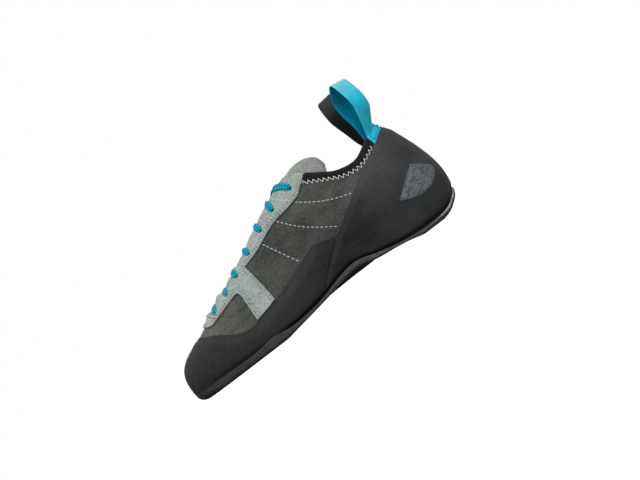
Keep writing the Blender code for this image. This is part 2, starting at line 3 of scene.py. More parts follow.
import bpy
import numpy as np
from mathutils import Matrix, kdtree


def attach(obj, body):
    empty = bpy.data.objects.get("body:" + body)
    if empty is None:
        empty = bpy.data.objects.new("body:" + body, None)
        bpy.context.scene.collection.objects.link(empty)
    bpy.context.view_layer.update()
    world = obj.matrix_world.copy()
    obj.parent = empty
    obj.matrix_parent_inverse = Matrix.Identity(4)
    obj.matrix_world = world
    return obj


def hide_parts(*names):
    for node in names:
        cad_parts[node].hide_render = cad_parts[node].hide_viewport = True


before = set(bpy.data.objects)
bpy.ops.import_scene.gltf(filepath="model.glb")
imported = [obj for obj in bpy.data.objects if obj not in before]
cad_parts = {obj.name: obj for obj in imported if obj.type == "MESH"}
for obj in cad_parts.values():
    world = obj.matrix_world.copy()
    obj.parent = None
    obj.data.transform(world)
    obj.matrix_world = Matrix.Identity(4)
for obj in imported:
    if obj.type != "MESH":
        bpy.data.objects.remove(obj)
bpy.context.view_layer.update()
print("frame loaded:", len(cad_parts), "solids")

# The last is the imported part's own ring of ribs: millimetres, heel to toe, then back on the outer side
last = {
    "middle": (122.75, -0.45, 0.0),  # the origin: along, side, height
    "ribs": 30,
    "collarRib": 6.0,
    "throatEndRib": 13.0,
    "ridgeStart": 90.0,
    "ridgeLean": 0.052,
    "ridgeBlend": (0.82, 0.175),  # where the two sides' normals meet on the ridge: climb, run
    "ripples": [(0.10, 9, 14, 0), (0.08, 6.1, -10, 1.3)],  # slight waves: rise, along, height, shift
    "ribProbe": 0.03,
    "climbProbe": 0.006,
    "weldGrid": 0.004,
    "metres": 0.001,
    # along, gap, height
    "topLine": [
        (20.8, 0, 88.5), (25, 10.5, 86.3), (33, 17.6, 80.3), (46, 22.8, 74.2), (62, 24.6, 75.8),
        (76, 23.4, 83), (87.5, 20, 89.2), (98, 12, 94.2), (134, 9.6, 79.6), (160, 8.4, 66.2),
        (173.5, 7.6, 59.4), (184.5, 6.6, 54.4), (194.5, 5, 50.1), (203.5, 0, 46.2), (214, 0, 40.9),
        (222, 0, 36.5),
    ],
    # along, side, height, tread, swell, rise, reach, drop
    "heelBack": (4.6, 0, 16, 11.8, 7.2, 22, 10.6, 26),
    "toeTip": (242.6, 12, 7.2, 0.3, 1.7, 20, 15, 6.3),
    "medial": [
        (7.8, 13.2, 11.6, 6.8, 7, 22.5, 10.5, 26), (16, 22.2, 6.6, 1.8, 6.4, 22, 8.5, 25),
        (33, 26.9, 4.7, -0.8, 6, 22, 7, 24), (55, 26.2, 6.4, 3.5, 6.5, 24, 6, 24),
        (76, 23, 10.8, 7, 9.5, 24, 6.5, 23), (93, 21.6, 15.4, 11.2, 11.5, 24, 9, 22),
        (110, 23.4, 13.4, 9.4, 11, 24, 14.5, 18), (132, 30.5, 8.2, 5, 7, 24, 15, 13),
        (155, 37, 5.7, 1.6, 4.5, 22, 15, 10), (175.5, 39, 5.7, -1.2, 3.2, 21, 15, 8),
        (193, 38.6, 6.1, -1, 2.6, 20, 15.5, 6), (208, 36.2, 6.6, -1, 2.2, 19, 16, 4.5),
        (223, 31, 7, -0.8, 1.8, 18, 15, 3.4), (236.4, 23, 7.2, -0.3, 1.8, 19, 15.5, 5.2),
    ],
    "lateral": [
        (7.8, 13.2, 11.6, 6.8, 7, 22.5, 10.5, 26), (16, 22.2, 6.6, 1.8, 6.4, 22, 8.5, 25),
        (33, 27.3, 4.7, -0.8, 5.8, 22, 7.5, 24), (55, 28.2, 6.6, 3.6, 5.2, 24, 7.5, 24),
        (76, 29.2, 10.4, 7, 4.5, 24, 8.5, 24), (93, 30.8, 11, 7.4, 4.2, 24, 12, 22),
        (110, 33.4, 10.4, 7.1, 4, 24, 18, 17), (132, 37.6, 8, 4.9, 3.8, 23, 20, 13),
        (155, 40, 5.7, 1.6, 3.4, 21, 20, 11), (175.5, 38.6, 5.7, -1.2, 3, 19.5, 19, 9),
        (192, 34, 6.1, -1, 2.6, 18.5, 18, 7.5), (206, 27, 6.6, -1, 2.2, 17.5, 16, 6),
        (219.5, 17.5, 7, -0.8, 1.8, 16.5, 14, 5), (233.2, 3, 7.2, -0.3, 1.8, 18.5, 15, 5.8),
    ],
}

# Edges of the overlays on the side view: along, height
edges = {
    "heelRand": [
        (28, 80), (34, 73.6), (45, 66.6), (64, 55), (85, 41.8), (93, 37.4), (105, 29), (117, 19.3),
        (130, 7.5), (140, -1.5), (150, -10), (250, -30),
    ],
    "toeRand": [
        (92, 37.5), (100, 40.2), (109.4, 42.8), (111.4, 43.2), (113.4, 42.6), (124, 38.6), (137, 34),
        (155, 28.3), (170, 24.5), (184, 23), (193, 25.6), (200, 30.2), (207, 34.6), (215, 38.6), (219, 42),
        (223, 60),
    ],
    "eyestayRear": [
        (82, 90.6), (84.6, 87.6), (87.4, 84.8), (90.3, 82.8), (94, 79.8), (97.6, 77.7), (101.4, 76.7),
        (110, 75), (120, 73.2), (130, 70), (145, 63.6), (160, 59.4), (172, 56.5),
    ],
    "eyestayFront": [
        (150, 57), (164, 51.6), (177, 47.9), (185, 45.6), (195, 42.6), (205, 40.4), (209, 42), (212, 46),
    ],
}

# Soft troughs and ridges of the worn upper: along, height, half length, half width, tilt, rise
softForms = [
    (187, 56.0, 2.7, 4.6, 0, 3.2),  # eyestay bulges between the first laces
    (190.2, 53.0, 2.4, 4.0, 0, 0.9),
    (201.5, 48.0, 2.4, 3.5, 0, 1.3),
    (174.5, 60.0, 3.6, 4.0, 0, 0.8),
    (195, 50.0, 2.6, 4.0, 0, -0.7),
    (181, 56.0, 2.4, 4.0, 0, -0.9),
    (167.5, 62.4, 2.6, 4.0, 0, -0.7),
    (151.5, 70.5, 3.0, 4.5, 0, -0.9),
    (134.2, 79.0, 3.0, 4.5, 0, -0.9),
    (118, 87.0, 3.0, 4.5, 0, -0.6),
    (144, 75.5, 5.0, 5.0, 0, 0.5),
    (127.5, 82.5, 5.5, 5.0, 0, 0.5),
    (112, 84, 10, 6, -25, 0.6),
    (120, 55, 26, 4.5, -62, -0.7),  # pull lines below the lacing
    (104, 60, 24, 4.5, -52, -0.6),
    (86, 64, 22, 5, -40, -0.5),
    (74, 66, 16, 4, -28, 0.6),
    (176, 36, 14, 4, 20, -0.5),  # flex of the ball of the foot
    (188, 34, 12, 4, 35, 0.5),
    (60, 30, 22, 8, 10, -0.5),  # hollow above the arch strip
    (98, 22, 26, 5, 24, 0.5),
    (30, 60, 12, 10, 0, 0.4),
]


def hermite(start, end, startSlope, endSlope, share):
    square, cube = share**2, share**3
    return (
        (2 * cube - 3 * square + 1) * start + (cube - 2 * square + share) * startSlope
        + (3 * square - 2 * cube) * end + (cube - square) * endSlope
    )


def smoothStep(value):
    share = np.clip(value, 0, 1)
    return share * share * (3 - 2 * share)


def unit(vectors):
    return vectors / np.maximum(np.linalg.norm(vectors, axis=-1, keepdims=True), 1e-9)


def runLengths(points):
    return np.concatenate([[0], np.cumsum(np.linalg.norm(np.diff(points, axis=0), axis=1))])


def smoothLine(places, values, at):
    places, values = np.asarray(places, float), np.asarray(values, float)
    slopes = np.gradient(values, places)
    index = np.clip(np.searchsorted(places, at) - 1, 0, len(places) - 2)
    step = places[index + 1] - places[index]
    share = np.clip((at - places[index]) / step, 0, 1)
    return hermite(values[index], values[index + 1], slopes[index] * step, slopes[index + 1] * step, share)


def ribRows():
    def row(foot, top, sign):
        return [foot[0], sign * foot[1], *foot[2:], top[0], sign * top[1], top[2]]

    tops = last["topLine"]
    medial = [row(foot, top, 1) for foot, top in zip(last["medial"], tops[1:-1])]
    lateral = [row(foot, top, -1) for foot, top in zip(last["lateral"], tops[1:-1])]
    heelBack, toeTip = row(last["heelBack"], tops[0], 1), row(last["toeTip"], tops[-1], 1)
    return np.array([heelBack, *medial, toeTip, *lateral[::-1]], float)


def ribSlopeRows():
    before, after = np.roll(ribSteps, 1)[:, None], ribSteps[:, None]
    ahead = (np.roll(ribTable, -1, axis=0) - ribTable) / after
    behind = (ribTable - np.roll(ribTable, 1, axis=0)) / before
    return (before * ahead + after * behind) / (before + after)


ribTable = ribRows()
ribSteps = np.linalg.norm(np.roll(ribTable, -1, axis=0)[:, :2] - ribTable[:, :2], axis=1)
ribSteps = (ribSteps + ribSteps[::-1]) / 2
ribSlopes = ribSlopeRows()
ribCount = last["ribs"]
upWay = np.array([0.0, 0.0, 1.0])


def ribValues(rib):
    rib = np.asarray(rib, float)
    index = np.floor(rib).astype(int) % ribCount
    after = (index + 1) % ribCount
    step = ribSteps[index][..., None]
    share = (rib - np.floor(rib))[..., None]
    return hermite(ribTable[index], ribTable[after], ribSlopes[index] * step, ribSlopes[after] * step, share)


def halfRib(rib):
    turned = np.asarray(rib, float) % ribCount
    return np.minimum(turned, ribCount - turned)


def onSide(ribs, side):
    return ribs if side == "medial" else (ribCount - ribs)[::-1]


def wholeRing(half):
    return np.concatenate([half, ribCount - half[1:-1][::-1]])


def outward(rib):
    way = ribValues(rib + 0.05)[..., :2] - ribValues(rib - 0.05)[..., :2]
    return unit(np.stack([-way[..., 1], way[..., 0], 0 * way[..., 0]], -1))


def ridgeSide(along):
    return last["ridgeLean"] * np.maximum(0.0, along - last["ridgeStart"])


def topPoint(rib):
    values = ribValues(rib)
    gap = np.where(halfRib(rib) >= last["throatEndRib"], 0.0, values[..., 9])
    return np.stack([values[..., 8], ridgeSide(values[..., 8]) + gap, values[..., 10]], -1)


def skin(rib, climb):
    rib, climb = np.broadcast_arrays(np.asarray(rib, float), np.asarray(climb, float))
    values, out, top = ribValues(rib), outward(rib), topPoint(rib)
    foot = values[..., :3]
    swell, rise, reach, drop = (values[..., column, None] for column in (4, 5, 6, 7))
    lowHandle = foot + out * swell + upWay * rise
    highHandle = top + out * reach - upWay * drop
    climb, rest = climb[..., None], 1 - climb[..., None]
    ends = rest**3 * foot + climb**3 * top
    return ends + 3 * rest**2 * climb * lowHandle + 3 * rest * climb**2 * highHandle


def sideNormal(rib, climb):
    ribStep, climbStep = last["ribProbe"], last["climbProbe"]
    climb = np.clip(climb, climbStep, 0.985)
    up = skin(rib, climb + climbStep) - skin(rib, climb - climbStep)
    forward = skin(rib + ribStep, climb) - skin(rib - ribStep, climb)
    return unit(np.cross(up, forward))


def skinNormal(rib, climb):
    rib, climb = np.broadcast_arrays(np.asarray(rib, float), np.asarray(climb, float))
    normal, other = sideNormal(rib, climb), sideNormal(ribCount - rib, climb)
    onRidge = halfRib(rib) >= last["throatEndRib"]
    start, run = last["ridgeBlend"]
    share = np.where(onRidge, smoothStep((climb - start) / run), 0.0)[..., None]
    return unit(normal * (1 - share) + unit(normal + other) * share)


def reliefAt(points):
    along, height = points[..., 0], points[..., 2]
    rise = sum(high * np.sin(along / far + height / up + shift) for high, far, up, shift in last["ripples"])
    for formAlong, formHeight, halfLength, halfWidth, tilt, depth in softForms:
        angle = math.radians(tilt)
        far, up = along - formAlong, height - formHeight
        runs = far * math.cos(angle) + up * math.sin(angle)
        over = up * math.cos(angle) - far * math.sin(angle)
        rise = rise + depth * np.exp(-(runs / halfLength) ** 2 - (over / halfWidth) ** 2)
    return rise


def onSkin(rib, climb, lift=0.0):
    points = skin(rib, climb)
    return points + skinNormal(rib, climb) * (np.asarray(lift) + reliefAt(points))[..., None]


def ribLength(rib):
    climbs = np.linspace(0, 1, 41)
    points = skin(np.asarray(rib, float)[..., None], climbs)
    return np.linalg.norm(np.diff(points, axis=-2), axis=-1).sum(-1)


def climbBelowTop(rib, distance):
    rib = np.atleast_1d(np.asarray(rib, float))
    climbs = np.linspace(1.0, 0.4, 121)
    points = skin(rib[:, None], climbs)
    runs = np.cumsum(np.linalg.norm(np.diff(points, axis=1), axis=-1), axis=1)
    runs = np.concatenate([np.zeros((len(rib), 1)), runs], axis=1)
    wanted = np.broadcast_to(distance, rib.shape)
    return np.array([np.interp(far, run, climbs) for far, run in zip(wanted, runs)])


def rimClimb(rib):
    lift = sum(rise * np.exp(-(((halfRib(rib) - at) / reach) ** 2)) for at, reach, rise in upper["rimLifts"])
    lift = lift * smoothStep((last["throatEndRib"] - halfRib(rib)) / upper["rimFade"])
    return 1 + lift / ribLength(rib)


def climbAtLine(rib, marks, lift=0.0):
    rib = np.asarray(rib, float)
    places, heights = zip(*marks)

    def above(climb):
        point = skin(rib, climb)
        return point[..., 2] - smoothLine(places, heights, point[..., 0]) - lift

    low, high = np.zeros_like(rib), np.ones_like(rib)
    for _ in range(34):
        middle = (low + high) / 2
        over = above(middle) > 0
        low, high = np.where(over, low, middle), np.where(over, middle, high)
    found = np.where(above(np.ones_like(rib)) <= 0, 1.0, (low + high) / 2)
    return np.where(above(np.zeros_like(rib)) >= 0, 0.0, found)


def ribWidth(rib, climb, reach=0.05):
    return np.linalg.norm(skin(rib + reach, climb) - skin(rib - reach, climb)) / (2 * reach)


def throatRib(along):
    ribs = np.linspace(last["collarRib"], last["throatEndRib"], 701)
    return float(np.interp(along, topPoint(ribs)[:, 0], ribs))


def ribsBetween(first, final, step, edgeSteps=()):
    fine = np.linspace(first, final, 800)
    runs = runLengths(skin(fine, 0.5))
    places = np.linspace(0, runs[-1], max(2, int(runs[-1] / step) + 1))
    close = np.array(edgeSteps)
    if len(close):
        clear = close[-1] * 1.6
        inside = places[(places > clear) & (places < runs[-1] - clear)]
        places = np.concatenate([[0], close, inside, runs[-1] - close[::-1], [runs[-1]]])
    return np.interp(places, runs, fine)


sides = ("medial", "lateral")
nearEdge = (0.15, 0.45, 0.9, 1.6)  # rows and columns that round an edge, from the edge inwards


def gridQuads(columns, rows, first=0, closed=False):
    quads = []
    for column in range(columns if closed else columns - 1):
        here, there = first + column * rows, first + (column + 1) % columns * rows
        quads += [(here + row, here + row + 1, there + row + 1, there + row) for row in range(rows - 1)]
    return quads


def tubeFaces(rows, sides, first=0):
    faces, end = [], first + (rows - 1) * sides
    for row in range(first, end, sides):
        for side in range(sides):
            ahead = (side + 1) % sides
            faces.append((row + side, row + ahead, row + sides + ahead, row + sides + side))
    return [*faces, tuple(reversed(range(first, first + sides))), tuple(range(end, end + sides))]


def flipped(faces):
    return [tuple(reversed(face)) for face in faces]


def shifted(faces, first):
    return [tuple(corner + first for corner in face) for face in faces]


def joinParts(parts):
    points, faces, first = [], [], 0
    for part, partFaces in parts:
        points.append(part)
        faces += shifted(partFaces, first)
        first += len(part)
    return np.concatenate(points), faces


def circle(count):
    return np.linspace(0, 2 * math.pi, count, endpoint=False)


def rowsAt(places, runs, rows):
    return np.stack([np.interp(places, runs, rows[:, axis]) for axis in range(3)], -1)


def facing(faces, points, ways, at=0):
    a, b, c = points[list(faces[at][:3])]
    return faces if np.cross(b - a, c - a) @ ways[faces[at][0]] >= 0 else flipped(faces)


def between(mine, theirs, across):
    shares = np.linspace(0, 1, across + 1)[None, :, None]
    return mine[:, None] * (1 - shares) + theirs[:, None] * shares


def skinPatch(ribs, low, high, rows):
    ribs = np.asarray(ribs, float)
    span = np.maximum(ribLength(ribs) * (high - low), 1e-4)
    fit = np.minimum(1, 0.3 * span / nearEdge[-1]) / span
    close = np.concatenate([[0], nearEdge])[None, :] * fit[:, None]
    middle = close[:, -1:] + (1 - 2 * close[:, -1:]) * np.linspace(0, 1, rows + 2)[None, 1:-1]
    shares = np.concatenate([close, middle, 1 - close[:, ::-1]], axis=1)
    climbs = low[:, None] + (high - low)[:, None] * shares
    return {
        "rib": np.broadcast_to(ribs[:, None], climbs.shape), "climb": climbs,
        "belowHigh": (1 - shares) * span[:, None],
    }


def weld(points, faces):
    cells = np.round(points / last["weldGrid"]).astype(np.int64)
    _, first, back = np.unique(cells, axis=0, return_index=True, return_inverse=True)
    back = back.reshape(-1)
    cleaned = []
    for face in faces:
        corners = [int(back[corner]) for corner in face]
        corners = [corner for place, corner in enumerate(corners) if corner != corners[place - 1]]
        if len(set(corners)) > 2:
            cleaned.append(tuple(corners))
    return first, cleaned


def rimEdges(faces):
    runs = {(a, b) for face in faces for a, b in zip(face, face[1:] + face[:1])}
    return sorted(run for run in runs if run[::-1] not in runs)


def rimDistance(points, rim):
    ends = sorted({corner for run in rim for corner in run})
    tree = kdtree.KDTree(len(ends))
    for place, corner in enumerate(ends):
        tree.insert(points[corner], place)
    tree.balance()
    return np.array([tree.find(point)[2] for point in points])


def edgeRound(distance, radius, thin):
    return thin + (1 - thin) * np.sqrt(1 - (1 - np.clip(distance / radius, 0, 1)) ** 2)


def toScene(points):
    return (np.asarray(points, float) - np.array(last["middle"])) * last["metres"]


def addObject(name, data):
    made = bpy.data.objects.new(name, data)
    bpy.context.scene.collection.objects.link(made)
    return made


def edgesOf(points, faces, values):
    rim = rimEdges(faces)
    distance = rimDistance(points, rim)
    return rim, distance, edgeRound(distance, values["round"], values["thinEdge"])


def twice(values):
    return np.concatenate([values, values])


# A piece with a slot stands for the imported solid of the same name
def newPiece(name, points, faces, materials, slot=None, faceSlots=None, uv=None, marks=None):
    mesh = bpy.data.meshes.new(name)
    mesh.from_pydata(toScene(points).tolist(), [], faces)
    for material in materials:
        mesh.materials.append(material)
    if len(materials) > 1:
        mesh.polygons.foreach_set("material_index", np.asarray(faceSlots, np.int32))
    if uv is not None:
        corners = np.zeros(len(mesh.loops), np.int32)
        mesh.loops.foreach_get("vertex_index", corners)
        mesh.uv_layers.new(name="cloth").data.foreach_set("uv", np.asarray(uv, np.float32)[corners].ravel())
    for label, values in (marks or {}).items():
        mesh.attributes.new(label, "FLOAT", "POINT").data.foreach_set("value", np.asarray(values, np.float32))
    mesh.shade_smooth()
    piece = addObject(name, mesh)
    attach(piece, "root")
    if slot:
        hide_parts(name)
    return piece


def closeSheet(points, normals, faces, rim, above, below):
    count = len(points)
    shell = np.concatenate([points + normals * above[:, None], points - normals * below[:, None]])
    under = shifted(flipped(faces), count)
    wall = [(b, a, a + count, b + count) for a, b in rim]
    return shell, faces + under + wall, [0] * len(faces) + [1] * len(under) + [0] * len(wall)


# A sheet cut from the last's own surface, its wall, marks and lift from each spot's rib, climb and point
def skinSheet(name, patches, values, materials, slot, wallAt=None, marksAt=None, liftAt=None, closed=False):
    spot = {label: np.concatenate([patch[label].ravel() for patch in patches]) for label in patches[0]}
    faces, first = [], 0
    for patch in patches:
        columns, rows = patch["rib"].shape
        faces += gridQuads(columns, rows, first, closed)
        first += columns * rows
    keep, faces = weld(skin(spot["rib"], spot["climb"]), faces)
    spot = {label: value[keep] for label, value in spot.items()}
    ribs, climbs = spot["rib"], spot["climb"]
    flat = spot["point"] = skin(ribs, climbs)
    rim, distance, scale = edgesOf(flat, faces, values)
    wall = wallAt(spot) if wallAt else values["wall"]
    marks = {"rim": distance, **(marksAt(spot) if marksAt else {})}
    lift = values["base"] + reliefAt(flat) + (liftAt(ribs, climbs) if liftAt else 0.0)
    normals = skinNormal(ribs, climbs)
    points, faces, faceSlots = closeSheet(flat, normals, faces, rim, lift + wall * scale, -lift)
    uv = np.stack([ribs * 20, climbs * ribLength(ribs)], -1)
    marks = {label: twice(value) for label, value in marks.items()}
    return newPiece(name, points, faces, materials, slot, faceSlots, twice(uv), marks)


print("last ready")

# Shader helpers


def tone(red, green, blue):
    channels = np.array([red, green, blue]) / 255
    linear = np.where(channels <= 0.04045, channels / 12.92, ((channels + 0.055) / 1.055) ** 2.4)
    return (*linear.tolist(), 1.0)


def addNode(tree, kind, values=None, **settings):
    node = tree.nodes.new(kind)
    for key, value in settings.items():
        setattr(node, key, value)
    for key, value in (values or {}).items():
        if isinstance(value, bpy.types.NodeSocket):
            tree.links.new(value, node.inputs[key])
        else:
            node.inputs[key].default_value = value
    return node


def calc(tree, operation, first, second=0.0, third=0.0):
    return addNode(tree, "ShaderNodeMath", {0: first, 1: second, 2: third}, operation=operation).outputs[0]


def multiply(tree, first, second):
    return calc(tree, "MULTIPLY", first, second)


def multiplyAdd(tree, first, second, third):
    return calc(tree, "MULTIPLY_ADD", first, second, third)


def mixColour(tree, share, first, second):
    return addNode(tree, "ShaderNodeMix", {0: share, 6: first, 7: second}, data_type="RGBA").outputs[2]


def scaleColour(tree, colour, share):
    return addNode(tree, "ShaderNodeVectorMath", {0: colour, "Scale": share}, operation="SCALE").outputs[0]


def spread(tree, value, low, high, newLow=0.0, newHigh=1.0):
    values = {0: value, 1: low, 2: high, 3: newLow, 4: newHigh}
    return addNode(tree, "ShaderNodeMapRange", values, interpolation_type="SMOOTHSTEP").outputs[0]


# Noise from a row of values: scale, detail, roughness, swirl, then stretch and turn of the place
def noise(tree, place, scale, detail=3.0, rough=0.55, swirl=0.0, stretch=None, turn=(0.0, 0.0, 0.0)):
    if stretch:
        values = {"Vector": place, "Rotation": turn, "Scale": stretch}
        place = addNode(tree, "ShaderNodeMapping", values).outputs[0]
    values = {"Vector": place, "Scale": scale, "Detail": detail, "Roughness": rough, "Distortion": swirl}
    return addNode(tree, "ShaderNodeTexNoise", values).outputs[0]


def newGroup(name, inputs, outputs):
    group = bpy.data.node_groups.new(name, "ShaderNodeTree")
    for way, sockets in (("INPUT", inputs), ("OUTPUT", outputs)):
        for label, kind in sockets.items():
            group.interface.new_socket(name=label, in_out=way, socket_type="NodeSocket" + kind)
    return group, group.nodes.new("NodeGroupInput").outputs, group.nodes.new("NodeGroupOutput").inputs


def placeGroup(tree, group, values):
    return addNode(tree, "ShaderNodeGroup", values, node_tree=group).outputs


def newMaterial(name, settings):
    material = bpy.data.materials.new(name)
    material.use_nodes = True
    tree = material.node_tree
    shader = tree.nodes["Principled BSDF"]
    for key, value in settings.items():
        shader.inputs[key].default_value = value
    return material, tree, shader.inputs, tree.nodes.new("ShaderNodeTexCoord").outputs


def addBump(tree, shader, height, distance, strength):
    bump = addNode(tree, "ShaderNodeBump", {"Height": height, "Distance": distance, "Strength": strength})
    tree.links.new(bump.outputs[0], shader["Normal"])


def markValue(tree, label):
    return addNode(tree, "ShaderNodeAttribute", attribute_name=label).outputs["Fac"]


# Two colours over a length: axis, from, to
def fadeColour(tree, place, axis, start, end, first, second):
    distance = addNode(tree, "ShaderNodeSeparateXYZ", {0: place["Object"]}).outputs[axis]
    return mixColour(tree, spread(tree, distance, start, end), first, second)


sheetOutputs = {"Colour": "Color", "Height": "Float", "Roughness": "Float"}

# Brushed nap: short fibres, and lighter and darker strokes where a hand has gone over it
nap = {
    "fibres": (2300, 4, 0.7, 0, (1, 1, 0.6), (0.3, 0.5, 0.2)), "tufts": (620, 3, 0.6),
    "strokes": (95, 4, 0.6, 0, (0.5, 1, 1), (0, 0.7, 0)), "clouds": (26, 2, 0.5),
    "grain": (1.4, -0.4), "tuftHigh": 0.6, "fibreHigh": 0.5, "rough": (0.3, 0.7, 0.86, 0.98),
    "bump": (0.0004, 0.7),
    "shader": {"Sheen Weight": 0.08, "Sheen Roughness": 0.5, "Specular IOR Level": 0.12},
    "front": (0.025, 0.05), "cutFrom": 0.15,
}


def suedeGroup():
    inputs = {"Place": "Vector", "Colour": "Color", "Strokes": "Float"}
    group, given, made = newGroup("brushedNap", inputs, sheetOutputs)
    fibres, tufts, strokes, clouds = (
        noise(group, given["Place"], *nap[label]) for label in ("fibres", "tufts", "strokes", "clouds")
    )
    stroke = calc(group, "SUBTRACT", calc(group, "ADD", strokes, clouds), 1.0)
    stroke = multiply(group, stroke, given["Strokes"])
    grain = multiplyAdd(group, calc(group, "ADD", fibres, tufts), *nap["grain"])
    scaled = scaleColour(group, given["Colour"], calc(group, "ADD", grain, stroke))
    height = multiplyAdd(group, tufts, nap["tuftHigh"], multiply(group, fibres, nap["fibreHigh"]))
    group.links.new(scaled, made["Colour"])
    group.links.new(height, made["Height"])
    group.links.new(spread(group, strokes, *nap["rough"]), made["Roughness"])
    return group


# Rubber sheet: fine pores, rubbed patches and a few scuffs
rubber = {
    "pores": (1000, 3, 0.6), "mottle": (330, 3, 0.6), "smears": (60, 4, 0.6, 0, (0.35, 1, 1), (0, 0.6, 0)),
    "clouds": (22, 3, 0.5), "scratches": (420, 2, 0.5, 0, (0.08, 1, 1), (0, 0.9, 0)),
    "scuff": (0.62, 0.78), "scuffIn": (0.45, 0.7), "cloudDust": (0.35, 0.72, 0, 0.6),
    "smearDust": (0.4, 0.75, 0, 0.35), "poreTone": 2.2, "mottleTone": (1.3, -0.75), "scuffHigh": -0.4,
    "smearHigh": 0.6, "poreHigh": 0.35, "dustRough": 0.2, "rough": (0.3, 0.7, 0.5, 0.62),
    "bump": (0.00025, 0.6), "shader": {"Specular IOR Level": 0.22}, "toe": (-0.01, 0.07), "cut": (0.2, 1.1),
    "crumbs": (900, 3, 0.6, 1.4, (0.22, 1, 1), (0, 0.9, 0)), "rubbed": (140, 2, 0.5),
    "crumbTone": (0.42, 0.6, 0, 0.75), "rubbedTone": 0.5, "patchEdgeHighlight": 1.6, "crumbHigh": 1.6,
    "groundEdgeAndHighlight": (420, 4, 0.65, 0, (0.5, 1, 1)), "groundEdgeAndHighlightTone": (0.32, 0.68, 0.3, 1.5),
}


def rubberGroup():
    inputs = {"Place": "Vector", "Colour": "Color", "Scuff": "Color", "Wear": "Float"}
    group, given, made = newGroup("rubberSheet", inputs, sheetOutputs)
    pores, mottle, smears, clouds, scratches = (
        noise(group, given["Place"], *rubber[label])
        for label in ("pores", "mottle", "smears", "clouds", "scratches")
    )
    scuff = spread(group, scratches, *rubber["scuff"])
    scuff = multiply(group, scuff, spread(group, smears, *rubber["scuffIn"]))
    dust = calc(group, "ADD", scuff, spread(group, clouds, *rubber["cloudDust"]))
    dust = calc(group, "ADD", dust, spread(group, smears, *rubber["smearDust"]))
    dust = multiply(group, dust, given["Wear"])
    speck = multiplyAdd(group, pores, rubber["poreTone"], multiplyAdd(group, mottle, *rubber["mottleTone"]))
    scaled = scaleColour(group, given["Colour"], speck)
    height = multiplyAdd(group, smears, rubber["smearHigh"], multiply(group, pores, rubber["poreHigh"]))
    height = multiplyAdd(group, scuff, rubber["scuffHigh"], height)
    rough = multiplyAdd(group, dust, rubber["dustRough"], spread(group, smears, *rubber["rough"]))
    group.links.new(mixColour(group, dust, scaled, given["Scuff"]), made["Colour"])
    group.links.new(height, made["Height"])
    group.links.new(rough, made["Roughness"])
    return group


# Woven or braided cloth from lengths along and across it, in millimetres
def weaveGroup():
    inputs = {"Lengths": "Vector", "PitchAlong": "Float", "PitchAcross": "Float", "Slant": "Float"}
    group, given, made = newGroup("threadWeave", inputs, {"Height": "Float"})
    parts = addNode(group, "ShaderNodeSeparateXYZ", {0: given["Lengths"]}).outputs
    slanted = multiplyAdd(group, parts[1], given["Slant"], parts[0])
    along = multiply(group, calc(group, "DIVIDE", slanted, given["PitchAlong"]), 2 * math.pi)
    across = multiply(group, calc(group, "DIVIDE", parts[1], given["PitchAcross"]), math.pi)
    wave = calc(group, "SINE", across)
    turned = multiplyAdd(group, calc(group, "SIGN", wave), math.pi / 2, along)
    ribs = calc(group, "POWER", multiplyAdd(group, calc(group, "SINE", turned), 0.5, 0.5), 0.7)
    cords = calc(group, "POWER", calc(group, "ABSOLUTE", wave), 0.5)
    group.links.new(multiply(group, ribs, cords), made["Height"])
    return group


brushedNap, rubberSheet, threadWeave = suedeGroup(), rubberGroup(), weaveGroup()


def suedeMaterial(name, values):
    material, tree, shader, place = newMaterial(name, nap["shader"])
    colour = values["colour"]
    if "frontColour" in values:
        colour = fadeColour(tree, place, 0, *nap["front"], colour, values["frontColour"])
    inputs = {"Place": place["Object"], "Colour": colour, "Strokes": values["strokes"]}
    made = placeGroup(tree, brushedNap, inputs)
    # A band along the piece's edge takes cutColour: the cut edge's own tone, and on the light suede also
    # painted shadow
    cut = spread(tree, markValue(tree, "rim"), nap["cutFrom"], values["cutWidth"], values["cutLight"], 0.0)
    tree.links.new(mixColour(tree, cut, made["Colour"], values["cutColour"]), shader["Base Color"])
    tree.links.new(made["Roughness"], shader["Roughness"])
    addBump(tree, shader, made["Height"], *nap["bump"])
    return material


